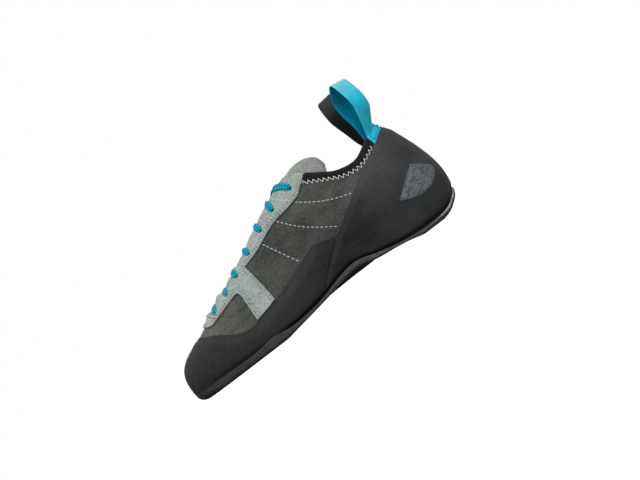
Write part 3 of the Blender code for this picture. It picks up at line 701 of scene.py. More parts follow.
def rubberMaterial(name, values):
    material, tree, shader, place = newMaterial(name, rubber["shader"])
    colour = values["colour"]
    # Painted shade: darker towards the bottom, from colour higher up to lowColour low down
    if "lowColour" in values:
        colour = fadeColour(tree, place, 2, *values["paintedLightHeights"], values["lowColour"], colour)
    if "toeColour" in values:
        colour = fadeColour(tree, place, 0, *rubber["toe"], colour, values["toeColour"])
    inputs = {"Place": place["Object"], "Colour": colour, "Scuff": values["scuff"], "Wear": values["wear"]}
    made = placeGroup(tree, rubberSheet, inputs)
    colour, height = made["Colour"], made["Height"]
    # Painted highlight: a thin lighter line along the piece's cut edge
    if "cut" in values:
        cut = spread(tree, markValue(tree, "rim"), *rubber["cut"], values["cut"], 0.0)
        colour = mixColour(tree, cut, colour, values["scuff"])
    if "patch" in values:
        inside = markValue(tree, "patch")
        crumbs = noise(tree, place["Object"], *rubber["crumbs"])
        rubbed = noise(tree, place["Object"], *rubber["rubbed"])
        share = multiplyAdd(tree, rubbed, rubber["rubbedTone"], spread(tree, crumbs, *rubber["crumbTone"]))
        # Painted highlight: a lighter line round the patch's border
        patchHighlight = multiply(tree, inside, calc(tree, "SUBTRACT", 1.0, inside))
        share = multiplyAdd(tree, patchHighlight, rubber["patchEdgeHighlight"], share)
        colour = mixColour(tree, inside, colour, mixColour(tree, share, *values["patch"]))
        height = multiplyAdd(tree, multiply(tree, crumbs, inside), rubber["crumbHigh"], height)
    # Painted shade: near-black in the groove where the rand meets the sole
    if "grime" in values:
        colour = mixColour(tree, markValue(tree, "grime"), colour, values["grime"])
    # The sole's lighter ground edge, and a painted highlight on its bevel at the heel, both in this colour
    if "groundEdgeAndHighlight" in values:
        rubbed = spread(tree, noise(tree, place["Object"], *rubber["groundEdgeAndHighlight"]), *rubber["groundEdgeAndHighlightTone"])
        colour = mixColour(tree, multiply(tree, markValue(tree, "groundEdgeAndHighlight"), rubbed), colour, values["groundEdgeAndHighlight"])
    tree.links.new(colour, shader["Base Color"])
    tree.links.new(made["Roughness"], shader["Roughness"])
    addBump(tree, shader, height, *rubber["bump"])
    return material


# Cloth and thread: what a material's own values don't say
cloth = {
    "sheen": 0.1, "gloss": 0.25, "deep": 0.5, "slant": 0.0, "full": 1.12, "drift": (180, 2, 0.5),
    "driftTone": (0.5, 0.78), "roughBand": 0.06, "bump": 0.8, "twist": (3200, 2, 0.5),
    "twistTone": (0.5, 0.75), "threadGloss": 0.3, "threadRough": (0.55, 0.75), "threadBump": (0.0001, 0.5),
}


def clothMaterial(name, values):
    values = {**cloth, **values}
    settings = {"Sheen Weight": values["sheen"], "Specular IOR Level": values["gloss"]}
    material, tree, shader, place = newMaterial(name, settings)
    along, across = values["pitch"]
    inputs = {"Lengths": place["UV"], "PitchAlong": along, "PitchAcross": across, "Slant": values["slant"]}
    weave = placeGroup(tree, threadWeave, inputs)["Height"]
    drift = noise(tree, place["Object"], *cloth["drift"])
    shade = multiplyAdd(tree, weave, values["deep"], cloth["full"] - values["deep"])
    shade = multiply(tree, shade, multiplyAdd(tree, drift, *cloth["driftTone"]))
    colour = values["colour"][:3]
    # Painted light and shade: the colour changes with height, from lowColour low down to colour higher up
    if "lowColour" in values:
        colour = fadeColour(tree, place, 2, *values["paintedLightHeights"], values["lowColour"], values["colour"])
    rough, band = values["rough"], cloth["roughBand"]
    tree.links.new(scaleColour(tree, colour, shade), shader["Base Color"])
    tree.links.new(spread(tree, drift, 0.3, 0.7, rough - band, rough + band), shader["Roughness"])
    addBump(tree, shader, weave, values["relief"], cloth["bump"])
    return material


def threadMaterial(name, colour):
    material, tree, shader, place = newMaterial(name, {"Specular IOR Level": cloth["threadGloss"]})
    twist = noise(tree, place["Object"], *cloth["twist"])
    shade = multiplyAdd(tree, twist, *cloth["twistTone"])
    tree.links.new(scaleColour(tree, colour[:3], shade), shader["Base Color"])
    tree.links.new(spread(tree, twist, 0.3, 0.7, *cloth["threadRough"]), shader["Roughness"])
    addBump(tree, shader, twist, *cloth["threadBump"])
    return material


suedeDark = suedeMaterial("suedeDark", {
    "colour": tone(82, 84, 80), "frontColour": tone(92, 94, 87), "strokes": 1.4,
    "cutWidth": 0.6, "cutLight": 0.2, "cutColour": tone(120, 122, 116),
})
# Light suede: the dark band along its edges is partly the cut edge's own tone and partly painted shadow
# beside the raised edges
suedeLight = suedeMaterial("suedeLight", {
    "colour": tone(167, 176, 171), "strokes": 0.65, "cutWidth": 0.7, "cutLight": 0.75,
    "cutColour": tone(62, 66, 63),
})
tongueSuede = suedeMaterial("tongueSuede", {
    "colour": tone(147, 157, 149), "strokes": 0.35,
    "cutWidth": 0.75, "cutLight": 0.4, "cutColour": tone(180, 188, 180),
})
# Toe rand: the thin lighter line along its top edge is a painted highlight, and the near-black groove at the
# sole is painted shade
rubberToe = rubberMaterial("rubberToe", {
    "colour": tone(37, 38, 40), "scuff": tone(70, 71, 73), "wear": 0.45, "cut": 0.35, "grime": tone(8, 8, 9),
})
# Heel rand: painted shade makes it darker towards the bottom, and near-black in the groove at the sole
rubberHeel = rubberMaterial("rubberHeel", {
    "colour": tone(58, 60, 62), "lowColour": tone(32, 33, 34), "paintedLightHeights": (0.02, 0.088),
    "scuff": tone(84, 87, 89), "wear": 0.6, "patch": (tone(54, 60, 63), tone(122, 130, 132)),
    "grime": tone(8, 8, 9),
})
# Sole: its light colour is the ground edge and also a painted highlight on the bevel at the heel
rubberSole = rubberMaterial("rubberSole", {
    "colour": tone(54, 54, 53), "toeColour": tone(42, 42, 43), "scuff": tone(92, 92, 90), "wear": 0.5,
    "groundEdgeAndHighlight": tone(180, 181, 180),
})
knitBlack = clothMaterial("knitBlack", {
    "colour": tone(27, 28, 28), "pitch": (0.9, 0.8), "slant": 0.4, "rough": 0.85, "relief": 0.00025,
})
liningCloth = clothMaterial("liningCloth", {
    "colour": tone(58, 60, 60), "pitch": (1.1, 1.0), "rough": 0.9, "relief": 0.0002,
})
webbing = {"pitch": (0.75, 1.0), "rough": 0.7, "relief": 0.0002}
# The loops' inside faces take darker copies of their webbing, painted shade
webbingPaintedShade = {**webbing, "rough": 0.75, "sheen": 0.0}
# Teal loop: painted light makes it lighter towards its top; lowColour is its own colour
webbingTeal = clothMaterial("webbingTeal", {
    **webbing, "colour": tone(120, 224, 240), "lowColour": tone(32, 210, 240), "paintedLightHeights": (0.107, 0.128),
    "sheen": 0.22, "gloss": 0.1, "deep": 0.3,
})
webbingTealPaintedShade = clothMaterial("webbingTealPaintedShade", {
    **webbingPaintedShade, "colour": tone(4, 150, 184), "gloss": 0.05,
})
# Dark loop: painted shade makes it near-black towards the bottom
webbingDark = clothMaterial("webbingDark", {
    **webbing, "colour": tone(58, 60, 58), "lowColour": tone(10, 10, 11), "paintedLightHeights": (0.106, 0.119),
})
webbingDarkPaintedShade = clothMaterial("webbingDarkPaintedShade", {**webbingPaintedShade, "colour": tone(24, 25, 24)})
laceTeal = clothMaterial("laceTeal", {
    "colour": tone(14, 190, 220), "pitch": (2.1, 2.5), "slant": 0.3, "rough": 0.66, "relief": 0.0006,
    "sheen": 0.0, "gloss": 0.15, "deep": 0.9,
})
insoleCloth = clothMaterial("insoleCloth", {
    "colour": tone(96, 97, 95), "pitch": (1.2, 1.2), "rough": 0.9, "relief": 0.0002,
})
threadWhite = threadMaterial("threadWhite", tone(228, 229, 226))
threadGrey = threadMaterial("threadGrey", tone(112, 120, 115))
threadTeal = threadMaterial("threadTeal", tone(12, 74, 92))
print("materials ready")

# Upper: one suede wall with a cloth lining, open at the collar, down the throat and underneath
upper = {
    "step": 1.7, "rows": 34, "wall": 2.0, "base": -2.0, "round": 0.8, "thinEdge": 0.5, "band": 6.5,
    "seamGap": 0.1, "corner": 5.9, "cornerStep": 0.03, "cornerClear": 0.08, "rimFade": 0.8,
    "rimLifts": [  # rib, reach, lift
        (6.1, 0.95, 2.9), (5.0, 0.5, 0.3), (2.4, 0.6, 1.1), (0, 0.5, -4.0), (8.6, 1.3, -0.9),
        (11.2, 1.2, -0.9),
    ],
}


def makeUpper():
    half, corner, step = ribsBetween(0, ribCount / 2, upper["step"]), upper["corner"], upper["cornerStep"]
    half = half[np.abs(half - corner) > upper["cornerClear"]]
    ribs = wholeRing(np.unique(np.concatenate([half, [corner - step, corner + step]])))
    seam = climbBelowTop(ribs, upper["band"] + upper["seamGap"])
    high = np.where(halfRib(ribs) <= corner, seam, rimClimb(ribs))
    patch = skinPatch(ribs, np.zeros(len(ribs)), high, upper["rows"])
    return skinSheet("upper", [patch], upper, [suedeDark, liningCloth], "suede_dark", closed=True)


upperPiece = makeUpper()
print("upper done")

# Collar band: soft knit edge, plump, sewn to the suede with a zigzag
collar = {"step": 1.5, "rows": 8, "wall": 2.6, "base": -2.3, "round": 1.9, "thinEdge": 0.25, "end": 6.3}


def makeCollar():
    ribs = ribsBetween(-collar["end"], collar["end"], collar["step"], nearEdge)
    patch = skinPatch(ribs, climbBelowTop(ribs, upper["band"]), rimClimb(ribs), collar["rows"])
    return skinSheet("collar_band", [patch], collar, [knitBlack], "knit_black")


makeCollar()
print("collar band done")

# Heel rand: rubber cup with a strip down to the arch, skived along its top edge
heelRand = {
    "step": 0.8, "rows": 66, "wall": 1.8, "base": 0.05, "round": 0.4, "thinEdge": 0.7, "end": 7.9,
    "foot": -0.03, "least": 0.024, "collarGap": 0.3, "skive": 6.0, "skiveShare": 0.35, "patchRise": 0.25,
    "patchSoft": 1.2,
    # rough patch on the side of the heel: along, height
    "patch": [
        (19, 46.1), (9.6, 38.7), (7.6, 36), (7.8, 33), (10, 29.6), (14.8, 26.3), (19, 25), (24.5, 24.5),
        (33, 26.5), (40.5, 30.2),
    ],
}


def insideShape(shape, along, height):
    shape = np.array(shape, float)
    away = np.full(along.shape, 1e9)
    inside = np.zeros(along.shape, bool)
    for here, there in zip(shape, np.roll(shape, -1, axis=0)):
        run = there - here
        share = np.clip(((along - here[0]) * run[0] + (height - here[1]) * run[1]) / (run @ run), 0, 1)
        away = np.minimum(away, np.hypot(along - here[0] - share * run[0], height - here[1] - share * run[1]))
        crosses = (here[1] > height) != (there[1] > height)
        level = run[1] if abs(run[1]) > 1e-9 else 1e-9
        inside ^= crosses & (along < here[0] + (height - here[1]) / level * run[0])
    return np.where(inside, away, -away)


def patchMask(points):
    signed = insideShape(heelRand["patch"], points[..., 0], points[..., 2])
    return smoothStep(signed / heelRand["patchSoft"] + 0.5)


# The rands turn in towards the sole, less beside the ball, and not at the toe, where both are ground flush
groove = {
    "sunk": 0.9, "round": 2.8, "thin": 0.05, "ease": [(160, 30, 0.6), (214, 18, 0.4)],  # from, run, share
    "grimeHigh": 2.7,
    # painted shade in the groove between rand and sole, fading upwards: along, share
    "grime": [(8, 0.5), (45, 0.6), (62, 0.95), (140, 0.95), (170, 0.75), (205, 0.5), (232, 0.25)],
}


def overFoot(spot):
    return np.maximum(spot["point"][:, 2] - ribValues(spot["rib"])[:, 2], 0.0)


def skivedWall(values):
    def wallAt(spot):
        thin, along = values["skiveShare"], spot["point"][:, 0]
        wall = values["wall"] * (thin + (1 - thin) * smoothStep(spot["belowHigh"] / values["skive"]))
        tucked = edgeRound(overFoot(spot) - groove["sunk"], groove["round"], groove["thin"])
        flush = sum(share * smoothStep((along - start) / run) for start, run, share in groove["ease"])
        raised = values.get("patchRise", 0.0) * patchMask(spot["point"])
        return wall * (tucked + (1 - tucked) * flush) + raised
    return wallAt


def randMarks(spot):
    # Painted shade: dark in the groove just above the sole, fading upwards
    grime = np.interp(spot["point"][:, 0], *zip(*groove["grime"]))
    grime = grime * np.exp(-((overFoot(spot) / groove["grimeHigh"]) ** 2))
    return {"patch": patchMask(spot["point"]), "grime": grime}


def makeRand(name, values, ribs, low, high, material, slot):
    patch = skinPatch(ribs, low, np.maximum(high, low + values["least"]), values["rows"])
    return skinSheet(name, [patch], values, [material], slot, skivedWall(values), randMarks)


def makeHeelRand():
    ribs = ribsBetween(-heelRand["end"], heelRand["end"], heelRand["step"])
    low = np.full(len(ribs), heelRand["foot"])
    collarEdge = climbBelowTop(ribs, upper["band"] + heelRand["collarGap"])
    high = np.minimum(collarEdge, climbAtLine(ribs, edges["heelRand"]))
    makeRand("heel_rand", heelRand, ribs, low, high, rubberHeel, "rubber_heel")


makeHeelRand()
print("heel rand done")

# Toe rand: rubber round the toe and both sides, skived along its top edge
toeRand = {
    "step": 1.4, "rows": 26, "wall": 1.8, "base": 0.05, "round": 0.4, "thinEdge": 0.7, "start": 6.02,
    "foot": -0.03, "least": 0.0, "seam": 0.12, "skive": 9.0, "skiveShare": 0.2,
}


def makeToeRand():
    half = ribsBetween(toeRand["start"], ribCount / 2, toeRand["step"])
    ribs = np.concatenate([half, ribCount - half[:-1][::-1]])
    low = np.maximum(toeRand["foot"], climbAtLine(ribs, edges["heelRand"], toeRand["seam"]))
    makeRand("toe_rand", toeRand, ribs, low, climbAtLine(ribs, edges["toeRand"]), rubberToe, "rubber_toe")


makeToeRand()
print("toe rand done")

# Eyestays: light suede beside the throat, the front piece with a wing down to the rand
eyestay = {
    "step": 1.2, "rows": 16, "wingRows": 22, "wall": 1.5, "rearWall": 1.25, "base": 0.05, "round": 0.55,
    "thinEdge": 0.4, "rearStart": 5.62, "wing": (9.0, 10.0), "frontEnd": 13.62, "fillet": 4.5,
    "rearEnd": 9.46, "filletClimb": 0.8, "lap": 1.2, "lapRun": 0.3, "lapSoft": 0.03, "bend": 0.34,
    "bendFrom": 0.84, "bendPower": 1.3, "randGap": 0.15, "frontStep": 0.6,
}


def frontLow(ribs):
    fillet, front = eyestay["fillet"], eyestay["wing"][1]
    away = np.clip((halfRib(ribs) - front) * ribWidth(front, eyestay["filletClimb"]), 0, fillet)
    drop = fillet - np.sqrt(np.maximum(fillet**2 - (fillet - away) ** 2, 0))
    return climbAtLine(ribs, edges["eyestayFront"]) - drop / ribLength(ribs)


def bendRear(patch):
    climbed = np.clip((patch["climb"] - eyestay["bendFrom"]) / (1 - eyestay["bendFrom"]), 0, 1)
    share = np.clip(eyestay["wing"][1] - halfRib(patch["rib"]), 0, 1) * climbed ** eyestay["bendPower"]
    patch["rib"] = patch["rib"] + np.where(patch["rib"] < ribCount / 2, 1, -1) * eyestay["bend"] * share
    return patch


def overRear(ribs, climbs):
    reach = smoothStep((eyestay["rearEnd"] + eyestay["lapRun"] - halfRib(ribs)) / eyestay["lapRun"])
    above = climbs - climbAtLine(ribs, edges["eyestayRear"])
    return eyestay["lap"] * reach * smoothStep(above / eyestay["lapSoft"] + 0.5)


def makeEyestayFront():
    rear, front = eyestay["wing"]
    wing = ribsBetween(rear, front, eyestay["step"], nearEdge)
    band = np.concatenate([wing, ribsBetween(front, eyestay["frontEnd"], eyestay["frontStep"])[1:]])
    patches = []
    for side in sides:
        bandRibs, wingRibs = onSide(band, side), onSide(wing, side)
        patches.append(bendRear(skinPatch(bandRibs, frontLow(bandRibs), rimClimb(bandRibs), eyestay["rows"])))
        wingLow = climbAtLine(wingRibs, edges["toeRand"], eyestay["randGap"])
        patches.append(skinPatch(wingRibs, wingLow, frontLow(wingRibs), eyestay["wingRows"]))
    return skinSheet("eyestay_front", patches, eyestay, [suedeLight], "suede_light", liftAt=overRear)


def makeEyestayRear(side):
    ribs = onSide(ribsBetween(eyestay["rearStart"], eyestay["rearEnd"], eyestay["step"], nearEdge), side)
    patch = skinPatch(ribs, climbAtLine(ribs, edges["eyestayRear"]), rimClimb(ribs), eyestay["rows"])
    values = {**eyestay, "wall": eyestay["rearWall"]}
    return skinSheet("eyestay_rear_" + side, [patch], values, [suedeLight], "suede_light")


eyestayPieces = [makeEyestayFront(), *(makeEyestayRear(side) for side in sides)]
print("eyestays done")

# Outsole: smooth rubber with a ground edge, bevelled at the back of the heel, with a painted highlight on the
# bevel
outsole = {
    "step": 1.5, "lip": 2.4, "toeLip": 1.95, "bottomRound": 0.45, "roundSteps": 8, "across": 26,
    "topAcross": 8,
    "toeFrom": 226.0, "toeRun": 15.0, "toeOut": 7.6, "toeUp": 0.94,  # how far the toe is ground away
    "bevel": 1.1, "bevelUntil": 40.0, "bevelRun": 28.0, "edge": 0.35, "toeBevel": 0.85, "bevelHighlight": 0.9,
    "lapOut": 0.15, "topIn": 1.5, "edgeGap": 0.05, "sideLeast": 0.02,
    # rings of the bevel: in by a share of it and more, down by a share of it and more, painted highlight
    "bevelRings": [(0, 0.03, 1, -0.05, 0.7), (0.5, 0, 0.45, 0, 1), (0.95, 0, 0, 0.05, 0.8)],
    # along, light
    "buffed": [(18, 0.01), (45, 0.07), (62, 0.13), (85, 0.1), (110, 0.07), (150, 0.05), (190, 0.03)],
    "low": [
        (0, 0.6), (20, 1.2), (45, 1.5), (65, 1), (85, 0.4), (100, 0.4), (122, 1.3), (140, 1),
        (160, 0.2), (175, 0),
    ],
    "heelIn": (22.0, 14.0, 0.6),  # the lip is narrower behind the heel: until, run, less
    "arch": (98.0, 26.0, 1.2),  # the tread hangs lower under the arch: along, half length, drop
    "lap": (174.0, 11.0, 2.3),  # the edge climbs the rand beside the ball: along, half length, rise
}


def makeOutsole():
    ribs = wholeRing(ribsBetween(0, ribCount / 2, outsole["step"]))
    values, out = ribValues(ribs), outward(ribs)
    foot, along, none = values[:, :3], values[:, 0], np.zeros(len(ribs))
    archAt, archHalf, archDrop = outsole["arch"]
    tread = np.maximum(values[:, 3] - archDrop * np.exp(-(((along - archAt) / archHalf) ** 4)), 0.0)
    height = foot[:, 2] - tread
    toeTip = smoothStep((along - outsole["toeFrom"]) / outsole["toeRun"])
    roundUp = (outsole["bottomRound"] + (outsole["toeUp"] - outsole["bottomRound"]) * toeTip) * height
    roundOut = outsole["bottomRound"] * height * (1 - toeTip) + outsole["toeOut"] * toeTip
    lapAt, lapHalf, lapRise = outsole["lap"]
    lap = lapRise * np.exp(-(((along - lapAt) / lapHalf) ** 2))
    top = foot[:, 2] + lap - smoothLine(*zip(*outsole["low"]), np.minimum(along, outsole["low"][-1][0]))
    heelBack = smoothStep((outsole["bevelUntil"] - along) / outsole["bevelRun"])
    bevel = outsole["edge"] + (outsole["bevel"] - outsole["edge"]) * heelBack
    bevel = bevel * (1 - outsole["toeBevel"] * toeTip)
    # The ground edge's lighter tone along the sole, and a painted highlight on the bevel at the heel's back
    buffed, bevelHighlight = np.interp(along, *zip(*outsole["buffed"])), heelBack * outsole["bevelHighlight"]
    inUntil, inRun, inLess = outsole["heelIn"]
    lip = outsole["lip"] + (outsole["toeLip"] - outsole["lip"]) * toeTip
    lip = lip - inLess * smoothStep((inUntil - along) / inRun)
    rings, groundEdgeAndHighlight = [], []

    def ring(away, level, light):
        rings.append(np.stack([*(foot + out * away[:, None])[:, :2].T, level], -1))
        groundEdgeAndHighlight.append(light)

    for step in range(outsole["roundSteps"] + 1):
        share = step / outsole["roundSteps"]
        angle = math.pi / 2 * share
        level = tread + roundUp * (1 - math.cos(angle))
        ring(lip - roundOut * (1 - math.sin(angle)), level, buffed * smoothStep(2 * share - 1))
    lip = lip + outsole["lapOut"] * lap
    ring(lip, np.maximum(top - bevel - outsole["edgeGap"], tread + roundUp + outsole["sideLeast"]), buffed)
    for inShare, inMore, downShare, downMore, light in outsole["bevelRings"]:
        away, level = lip - bevel * inShare - inMore, top - bevel * downShare - downMore
        ring(away, level, np.maximum(buffed, bevelHighlight * light))
    ring(lip - bevel, top, none)
    ring(none - outsole["topIn"], foot[:, 2], none)
    count, halfCount = len(ribs), len(ribs) // 2 + 1
    points, faces = np.concatenate(rings), flipped(tubeFaces(len(rings), len(ribs))[:-2])
    plates = ((rings[0], outsole["across"], flipped), (rings[-1], outsole["topAcross"], list))
    for edge, across, turn in plates:
        mine, theirs = edge[:halfCount], edge[(count - np.arange(halfCount)) % count]
        faces += turn(gridQuads(halfCount, across + 1, len(points)))
        points = np.concatenate([points, between(mine, theirs, across).reshape(-1, 3)])
    marks = np.zeros(len(points))
    marks[: count * len(rings)] = np.concatenate(groundEdgeAndHighlight)
    keep, faces = weld(points, faces)
    marks = {"groundEdgeAndHighlight": marks[keep]}
    return newPiece("outsole", points[keep], faces, [rubberSole], "rubber_sole", marks=marks)


makeOutsole()
print("outsole done")

# Tongue: padded suede under the lacing, its end curled down; along, height, half width, edge drop
tongue = {
    "rows": [
        (73.5, 74, 13, 4), (69.2, 80.4, 13.3, 6), (67.2, 85.2, 13.6, 8), (67.9, 89.4, 14, 10.5),
        (69.9, 93.3, 14.6, 14.5), (74.4, 96.3, 15.2, 16.5), (83, 98.1, 15.5, 15), (93.4, 96.3, 14.8, 12),
        (104, 90.6, 14.2, 9.4), (122, 82.4, 13.8, 7.5), (150, 68.3, 13.2, 6.5), (175, 55.9, 12.4, 5.5),
        (191, 49.7, 8, 2.6),
    ],
    "stations": 170, "across": 40, "wall": 3.0, "round": 2.6, "thinEdge": 0.2, "corner": 4.5,
    "cornerRun": 36.0, "endShare": 0.03, "endStations": 7,
}


def tongueSurface(place, across):
    rows = np.array(tongue["rows"], float)
    runs = runLengths(rows[:, :2])
    along, height, width, drop = (smoothLine(runs, rows[:, column], place * runs[-1]) for column in range(4))
    corner = tongue["corner"] * across**2 * (1 - smoothStep(place * runs[-1] / tongue["cornerRun"]))
    return np.stack([along + corner, ridgeSide(along) - across * width, height - drop * across**2], -1)


def gridNormals(points):
    along, across = np.gradient(points, axis=0), np.gradient(points, axis=1)
    return unit(np.cross(across, along))


def makeTongue():
    end = tongue["endShare"]
    ends = np.linspace(0, end, tongue["endStations"], endpoint=False)
    shares = np.concatenate([ends, np.linspace(end, 1, tongue["stations"])])
    across = np.sin(np.linspace(-1, 1, tongue["across"] + 1) * math.pi / 2)
    points = tongueSurface(shares[:, None] + 0 * across, across[None, :] + 0 * shares[:, None])
    normals = gridNormals(points)
    normals = normals * np.sign(normals[len(shares) // 2, len(across) // 2, 2])
    flat, ways = points.reshape(-1, 3), normals.reshape(-1, 3)
    faces = gridQuads(len(shares), len(across))
    faces = facing(faces, flat, ways, len(faces) // 2)
    rim, distance, scale = edgesOf(flat, faces, tongue)
    half = tongue["wall"] / 2
    shell, faces, _ = closeSheet(flat - ways * half, ways, faces, rim, half * scale, half * scale)
    return newPiece("tongue", shell, faces, [tongueSuede], "tongue_suede", marks={"rim": twice(distance)})


makeTongue()
print("tongue done")

# Insole: thin cloth-topped footbed
insole = {
    "step": 3.0, "wall": 2.0, "inset": 3.0, "lift": 0.9, "across": 20, "ends": (11.0, 236.0), "round": 1.2,
    "thinEdge": 0.4,
}


def makeInsole():
    half = ribsBetween(0, ribCount / 2, insole["step"])
    mine, theirs = (
        ribValues(ribs)[:, :3] - outward(ribs) * insole["inset"] + upWay * insole["lift"]
        for ribs in (half, ribCount - half)
    )
    points = between(mine, theirs, insole["across"])
    points[..., 0] = np.clip(points[..., 0], *insole["ends"])
    flat = points.reshape(-1, 3)
    keep, faces = weld(flat, gridQuads(*points.shape[:2]))
    flat = flat[keep]
    ways = np.broadcast_to(upWay, flat.shape)
    faces = facing(faces, flat, ways, len(faces) // 2)
    rim, _, scale = edgesOf(flat, faces, insole)
    shell, faces, _ = closeSheet(flat, ways, faces, rim, insole["wall"] * scale, np.zeros(len(flat)))
    return newPiece("insole", shell, faces, [insoleCloth], "insole_fabric", uv=twice(flat[:, :2]))


makeInsole()
print("insole done")

# Pull loops: flat webbing sewn on outside the collar, up and over, and down inside
loops = {
    "width": 15.0, "wall": 1.3, "clear": 0.35, "seat": 8.3, "tuck": 8.0, "tuckIn": 3.3, "fold": 2.0,
    "flatFrom": 14.0, "steps": 48, "seatSteps": 10, "across": 18, "round": 0.55, "thinEdge": 0.3,
    "reach": 0.7,
    # strands: turn from the collar, 0, to the fold, 1, and how far off the collar's line
    "medial": {
        "rib": 1.25, "twist": -8.2, "top": 126.6, "forward": -2.3, "lean": 1.3, "tilt": 1.6,
        "outer": [(0, 1), (0.11, 5.4), (0.22, 8.6), (0.37, 8.4), (0.53, 5.8), (0.78, 2.5), (1, 0)],
        "inner": [(0, 3.3), (0.11, 3.6), (0.26, 7), (0.43, 8.2), (0.67, 4.7), (1, 0)],
    },
    "lateral": {
        "rib": 28.5, "twist": 8.2, "top": 123.6, "forward": 9.2, "lean": 0.72, "tilt": 1.0,
        "outer": [(0, 1), (0.11, 3.6), (0.25, 5), (0.43, 5), (0.62, 3.6), (0.82, 1.8), (1, 0)],
        "inner": [(0, 6), (0.1, 5.6), (0.32, 7.1), (0.58, 4.7), (0.82, 2), (1, 0)],
    },
}


def loopSurface(side):
    values = loops[side]
    rib = values["rib"]
    base, reach = topPoint(rib), loops["reach"]
    chord = topPoint(rib + reach) - topPoint(rib - reach)
    perRib = np.linalg.norm(chord) / (2 * reach)
    angle = math.atan2(chord[1], chord[0]) + math.radians(values["twist"])
    collarWay = np.array([math.cos(angle), math.sin(angle), 0.0])
    out = np.array([-collarWay[1], collarWay[0], 0.0])
    rise = values["top"] - loops["wall"] / 2 - base[2]
    outer = loops["clear"] + loops["wall"] / 2
    shares = np.linspace(-0.5, 0.5, loops["across"] + 1)
    local = rib + shares * loops["width"] / perRib

    def strandRow(turn, strand, sign):
        height = rise * (1 - (1 - turn) ** loops["fold"])
        away = sign * smoothLine(*zip(*values[strand]), turn)
        flat = min(1.0, height / loops["flatFrom"])
        seat = topPoint(local) * (1 - flat) + (base + collarWay * shares[:, None] * loops["width"]) * flat
        share = height / rise
        seat = seat + upWay * (height + values["tilt"] * share * shares[:, None])
        return seat + out * away + np.array([values["forward"] * share ** values["lean"], 0, 0])

    rows = []
    for step in range(loops["seatSteps"]):
        climb = climbBelowTop(local, loops["seat"] * (1 - step / loops["seatSteps"]))
        rows.append(skin(local, climb) + skinNormal(local, climb) * outer)
    turns = np.sin(np.linspace(0, math.pi / 2, loops["steps"] + 1))
    rows += [strandRow(turn, "outer", 1) for turn in turns]
    rows += [strandRow(turn, "inner", -1) for turn in turns[-2::-1]]
    for step in range(1, loops["seatSteps"] + 1):
        share = step / loops["seatSteps"]
        climb = climbBelowTop(local, loops["tuck"] * share)
        inner = values["inner"][0][1] * (1 - share) + loops["tuckIn"] * share
        rows.append(skin(local, climb) - skinNormal(local, climb) * inner)
    return np.array(rows)


def makeLoop(side, materials, slot):
    points = loopSurface(side)
    rows, columns = points.shape[:2]
    normals = gridNormals(points)
    flat, ways = points.reshape(-1, 3), normals.reshape(-1, 3)
    faces = facing(gridQuads(rows, columns), flat, ways)
    rim, _, scale = edgesOf(flat, faces, loops)
    half = loops["wall"] / 2 * scale
    shell, faces, faceSlots = closeSheet(flat, ways, faces, rim, half, half)
    # The faces inside the loop take the second material, a copy painted with shade
    outer, inner = points[rows // 3, 0], points[-rows // 3, 0]
    if normals[rows // 3, 0] @ (inner - outer) > 0:
        faceSlots = [1 - number for number in faceSlots]
    lengths, widths = runLengths(points[:, columns // 2]), np.linspace(0, loops["width"], columns)
    uv = np.stack([np.repeat(lengths, columns), np.tile(widths, rows)], -1)
    return newPiece("pull_loop_" + side, shell, faces, materials, slot, faceSlots, twice(uv))


makeLoop("medial", [webbingTeal, webbingTealPaintedShade], "webbing_teal")
makeLoop("lateral", [webbingDark, webbingDarkPaintedShade], "webbing_dark")
print("pull loops done")

# Lace: a bar at the toe end, then crossings that dive into punched holes
lace = {
    "along": (193.6, 181.2, 167.8, 152.2, 135.2, 119.2, 98.8), "inset": (9.8, 8.0, 6.9, 6.0, 6.4, 7.2, 9.8),
    "slant": (1.5, 0.4, 0.3, 0.3, -0.1, -0.7, 7.6), "rimDrop": (0.4, 0.7, 0.8, 0.8, 0.8, 0.5, 0),
    "bow": (-0.6, -0.6, -0.6, -0.6, -0.6, -0.6, 2.4), "apart": 1.1, "width": 5.0, "wall": 1.5,
    "square": 0.75, "thicken": 0.5, "pinch": 0.62, "pinchFrom": 2.0, "pinchRun": 3.5,
    "lie": 1.95, "lieShare": 0.45, "barShare": 0.55, "mouthIn": 0.5, "mouthLow": 0.7, "shoulderLow": 0.1,
    "acrossAt": (0.3, 0.65), "dive": 2.6, "sink": 2.9, "short": 4.5, "tuckInset": 0.6,
    "beneath": (0.55, 0.95), "steps": 90, "around": 18, "hole": 1.9, "holeSides": 24, "holeHalf": 5.0,
    "holeSharp": 70.0,
}


def seatAt(rib, inset, lift):
    climb = climbBelowTop(rib, inset)[0]
    if lift > 0 and halfRib(rib) > eyestay["wing"][0]:
        lift = lift + float(overRear(rib, climb))
    return onSkin(rib, climb, lift), skinNormal(rib, climb)


